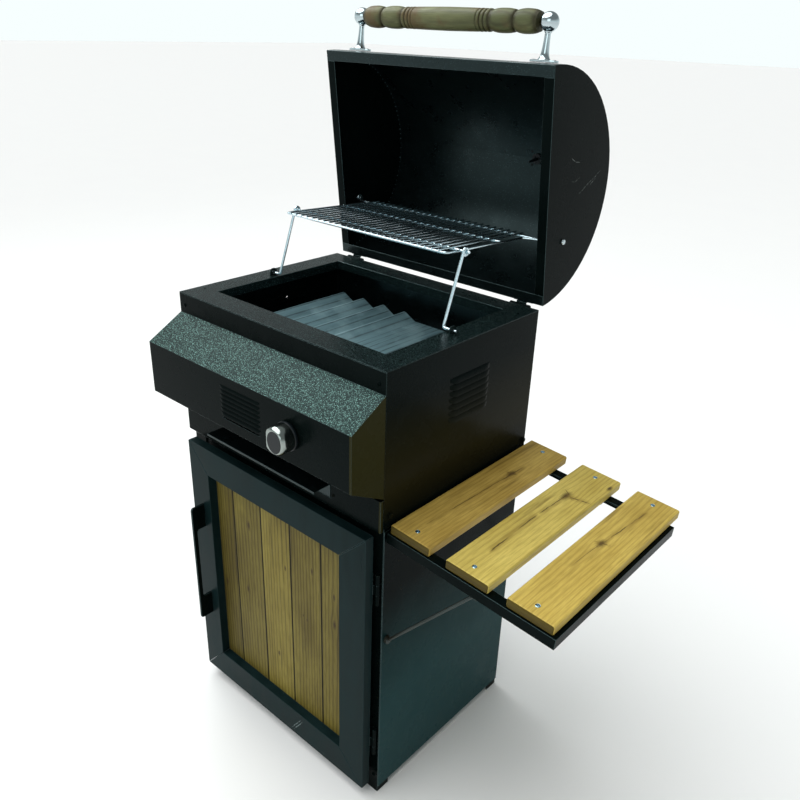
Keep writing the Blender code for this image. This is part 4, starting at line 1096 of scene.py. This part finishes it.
def rack():
    x, reach, eye_x = HALF - 0.062, RACK_REACH, HALF - 0.0105
    side = [(eye_x, 0.0052), (eye_x, 0.010), (eye_x - 0.003, 0.0135), (x + 0.003, 0.034), (x, 0.038)]
    side += [(x, reach - 0.010), (x - 0.003, reach - 0.003), (x - 0.010, reach)]
    points = [rack_point(-a, b) for a, b in side] + [rack_point(a, b) for a, b in side[::-1]]
    parts = [wire(eased(points), 0.0021, 4)]
    for ends, place in ((x + 0.026, 0.022), (x + 0.001, 0.4 * reach), (x + 0.018, PIN_REACH)):
        parts.append(wire([rack_point(-ends, place), rack_point(ends, place)], 0.0021, 4))
    for sign in (-1, 1):
        place = Matrix.Translation(PIVOT) @ Matrix.Rotation(sign * math.pi / 2, 4, "Y")
        parts.append(turned(oval(0.0052, eye_x, 0.0020, 0.0020, 12), place, 40, ring=True))
    edge = x - 0.014
    for i in range(25):
        at = -edge + 2 * edge * i / 24
        ends = [rack_point(at, 0.012, 0.003), rack_point(at, reach + 0.0012, 0.003)]
        parts.append(wire(ends, 0.00175, 3))
    made = piece("rack_wires", joined(parts), "rack", Matrix.Identity(4), WIRE_CHROME)
    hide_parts("warming_rack")


def rack_leg(side, tag):
    x, bend = HALF - 0.0515, 0.00535
    pin = rack_point(0, PIN_REACH)
    run = (pin - FOOT).normalized()
    normal = Vector((0, -run.z, run.y))
    lean = math.asin(bend / (pin - FOOT).length)
    start, hook = FOOT + Vector((x, 0, 0)), pin + Vector((x, 0, 0))
    out = Vector((1, 0, 0))
    points = [start + out * 0.027, start + out * 0.004, start + out * 0.0012 + run * 0.001]
    points.append(start + run * 0.0045)
    for i in range(25):
        t = math.radians(262) * i / 24
        points.append(hook + (normal * math.cos(t - lean) + run * math.sin(t - lean)) * bend)
    bent = eased(points[:4], 2) + points[4:]
    bent = [p if side > 0 else Vector((2 * FOOT.x - p.x, p.y, p.z)) for p in bent]
    body = f"rack_leg_{tag}"
    made = piece(body + "_wire", wire(bent, 0.0025, 5), body, Matrix.Identity(4), WIRE_CHROME)
    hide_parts(body)


# Knob


def knob():
    low, high = [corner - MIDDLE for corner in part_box("control_knob")]
    radius = (high.z - low.z) / 2
    centre = Vector((high.x - radius, 0, (high.z + low.z) / 2))
    front, back = low.y, high.y
    skirt = [(0.0048, back - 0.0009), (radius, back), (radius, back - 0.0030),
             (radius - 0.0012, back - 0.0042), (0.0048, back - 0.0042)]
    place = along("Y", centre)
    made = turned(skirt, place, 64, ring=True)
    piece("knob_skirt", made, "knob", STILL, PLASTIC)
    r = radius - 0.0010
    shell = [
        (0.0048, back - 0.0046), (r, back - 0.0046), (r, front + 0.0090), (r - 0.0006, front + 0.0045),
        (r - 0.0022, front + 0.0014), (r - 0.0042, front + 0.0001), (r - 0.0060, front),
        (0.0048, front), (0.0048, front + 0.0100),
    ]
    body = turned(shell, place, 128, ring=True)
    low_cut = (centre.x - radius - 0.01, front - 0.01, centre.z - radius - 0.01)
    cutter = block(low_cut, (centre.x - radius * 0.60, back - 0.0052, centre.z + radius + 0.01))
    carve(body, cutter)
    body = rounded(body, 0.0012, 4)
    chrome = piece("knob_body", body, "knob", STILL, KNOB_METAL)
    face = oval(centre.x + 0.0030, centre.z, 0.0152, 0.0180, 64)
    cap = plate([face], "XZ", front - 0.0006, front + 0.0090, 0.0014, 4)
    piece("knob_cap", cap, "knob", STILL, PLASTIC)
    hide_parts("control_knob")


# Fixings


CORNER_X = 0.236


def fixings():
    """Small screws, bolts and rivets on the box, the panel and the cabinet."""
    front = Matrix.Rotation(math.pi / 2, 4, "X")
    side = Matrix.Rotation(math.pi / 2, 4, "Y")
    other = Matrix.Rotation(-math.pi / 2, 4, "Y")
    face = RIM_LOW.y - MIDDLE.y
    spots = [Matrix.Translation((x, face - 0.0003, 0.836)) @ front for x in (-CORNER_X, CORNER_X)]
    spots.append(Matrix.Translation((0.239, face + 0.0012, 0.636)) @ front)
    leg_face = CAB_LOW.y - MIDDLE.y - 0.0002
    for x in (CORNER_X, -CORNER_X):
        spots.append(Matrix.Translation((x, leg_face, 0.038)) @ front)
    finish = ("cart", "black_paint", STILL, PAINT)
    scattered("front_screws", screw_head(0.0036, 0.0018, 0.0019), spots, *finish)
    spots = []
    for turn, sign in ((side, 1), (other, -1)):
        for y, z in ((-0.180, 0.613), (0.186, 0.606)):
            spots.append(Matrix.Translation((sign * (HALF + 0.0001), y, z)) @ turn)
    scattered("side_bolts", hex_bolt(0.0050, 0.0034), spots, *finish)
    spots = [
        Matrix.Translation((x, y, BOX_TOP)) for x in (-CORNER_X, CORNER_X) for y in (-0.150, 0.150)
    ]
    scattered("rim_rivets", screw_head(0.0022, 0.0007), spots, *finish)
    caps = [Matrix.Translation((sign * 0.146, -0.2001, 0.612)) @ front for sign in (1, -1)]
    scattered("surround_bolts", screw_head(0.0028, 0.0015, 0.0016), caps, *finish)


def hex_bolt(radius, height):
    head = plate([oval(0, 0, radius, radius, 6)], "XY", 0.0009, height, 0.0004, 2)
    wide = radius * 1.25
    washer = turned([(0, 0.0009), (wide, 0.0009), (wide, 0), (0, 0)], Matrix.Identity(4), 24)
    return joined([head, washer])


# Stage


def aimed(name, place, target, size, power, colour):
    data = bpy.data.lights.new(name, "AREA")
    data.shape = "RECTANGLE"
    data.size, data.size_y = size
    data.energy = power
    data.color = colour
    lamp = bpy.data.objects.new(name, data)
    bpy.context.scene.collection.objects.link(lamp)
    lamp.location = place
    lamp.rotation_mode = "QUATERNION"
    lamp.rotation_quaternion = (Vector(target) - Vector(place)).to_track_quat("-Z", "Y")
    return lamp


def soft_sky():
    """White at the horizon and dim overhead, so that glossy and chrome pieces keep dark sides."""
    world = bpy.data.worlds.new("soft")
    world.use_nodes = True
    tree = world.node_tree
    coords = tree.nodes.new("ShaderNodeTexCoord")
    split = tree.nodes.new("ShaderNodeSeparateXYZ")
    fade = tree.nodes.new("ShaderNodeMapRange")
    tree.links.new(coords.outputs["Generated"], split.inputs[0])
    tree.links.new(split.outputs["Z"], fade.inputs[0])
    for i, value in enumerate((0.04, 0.42, 1.0, 0.30)):
        fade.inputs[i + 1].default_value = value
    background = tree.nodes["Background"]
    background.inputs["Color"].default_value = (0.93, 1.0, 1.0, 1)
    tree.links.new(fade.outputs[0], background.inputs["Strength"])
    return world


def stage():
    shape = bmesh.new()
    bmesh.ops.create_grid(shape, x_segments=2, y_segments=2, size=40)
    floor = from_bmesh(shape)
    floor.name = "floor"
    pale = Tree.new("pale_floor", (0.80, 0.80, 0.79), 0.0, 0.8)
    pale.set("Base Color", pale.mix(pale.noise(3, 2), (0.80, 0.80, 0.79), (0.785, 0.785, 0.78)))
    floor.data.materials.append(pale.material)
    bpy.context.scene.world = soft_sky()
    aimed("key", (-2.2, 0.2, 3.1), (-0.1, 0, 0.8), (1.8, 1.8), 42, (0.94, 1.0, 1.0))
    sky = bpy.data.lights.new("sky", "SUN")
    sky.energy = 2.9
    sky.angle = math.radians(70)
    sun = bpy.data.objects.new("sky", sky)
    bpy.context.scene.collection.objects.link(sun)
    sun.rotation_euler = (math.radians(12), math.radians(-18), 0)
    aimed("fill", (1.2, -3.0, 2.4), (-0.1, 0, 0.6), (2.2, 1.6), 16, (0.90, 1.0, 1.0))


# The camera's turns in degrees, its lens in mm, and its place from the cart's middle.
YAW, PITCH, ROLL = 41.017, 25.469, 1.947
LENS, SENSOR = 35.594, 36
CAMERA_PLACE = Vector((0.92963, -0.94604, 1.29845))


def camera():
    yaw, pitch, roll = map(math.radians, (YAW, PITCH, ROLL))
    back = Vector((math.sin(yaw) * math.cos(pitch), -math.cos(yaw) * math.cos(pitch), math.sin(pitch)))
    right = Vector((math.cos(yaw), math.sin(yaw), 0))
    up = back.cross(right)
    c, s = math.cos(roll), math.sin(roll)
    right, up = c * right + s * up, c * up - s * right
    data = bpy.data.cameras.new("camera")
    data.lens = LENS
    data.sensor_width = SENSOR
    obj = bpy.data.objects.new("camera", data)
    bpy.context.scene.collection.objects.link(obj)
    turn = Matrix((right, up, back)).transposed().to_4x4()
    obj.matrix_world = Matrix.Translation(MIDDLE + CAMERA_PLACE) @ turn
    bpy.context.scene.camera = obj


cabinet()
firebox()
louvres()
door()
shelf()
lid()
rack()
for side, tag in ((-1, "left"), (1, "right")):
    rack_leg(side, tag)
knob()
fixings()
stage()
camera()
bpy.context.scene.view_settings.view_transform = "Standard"
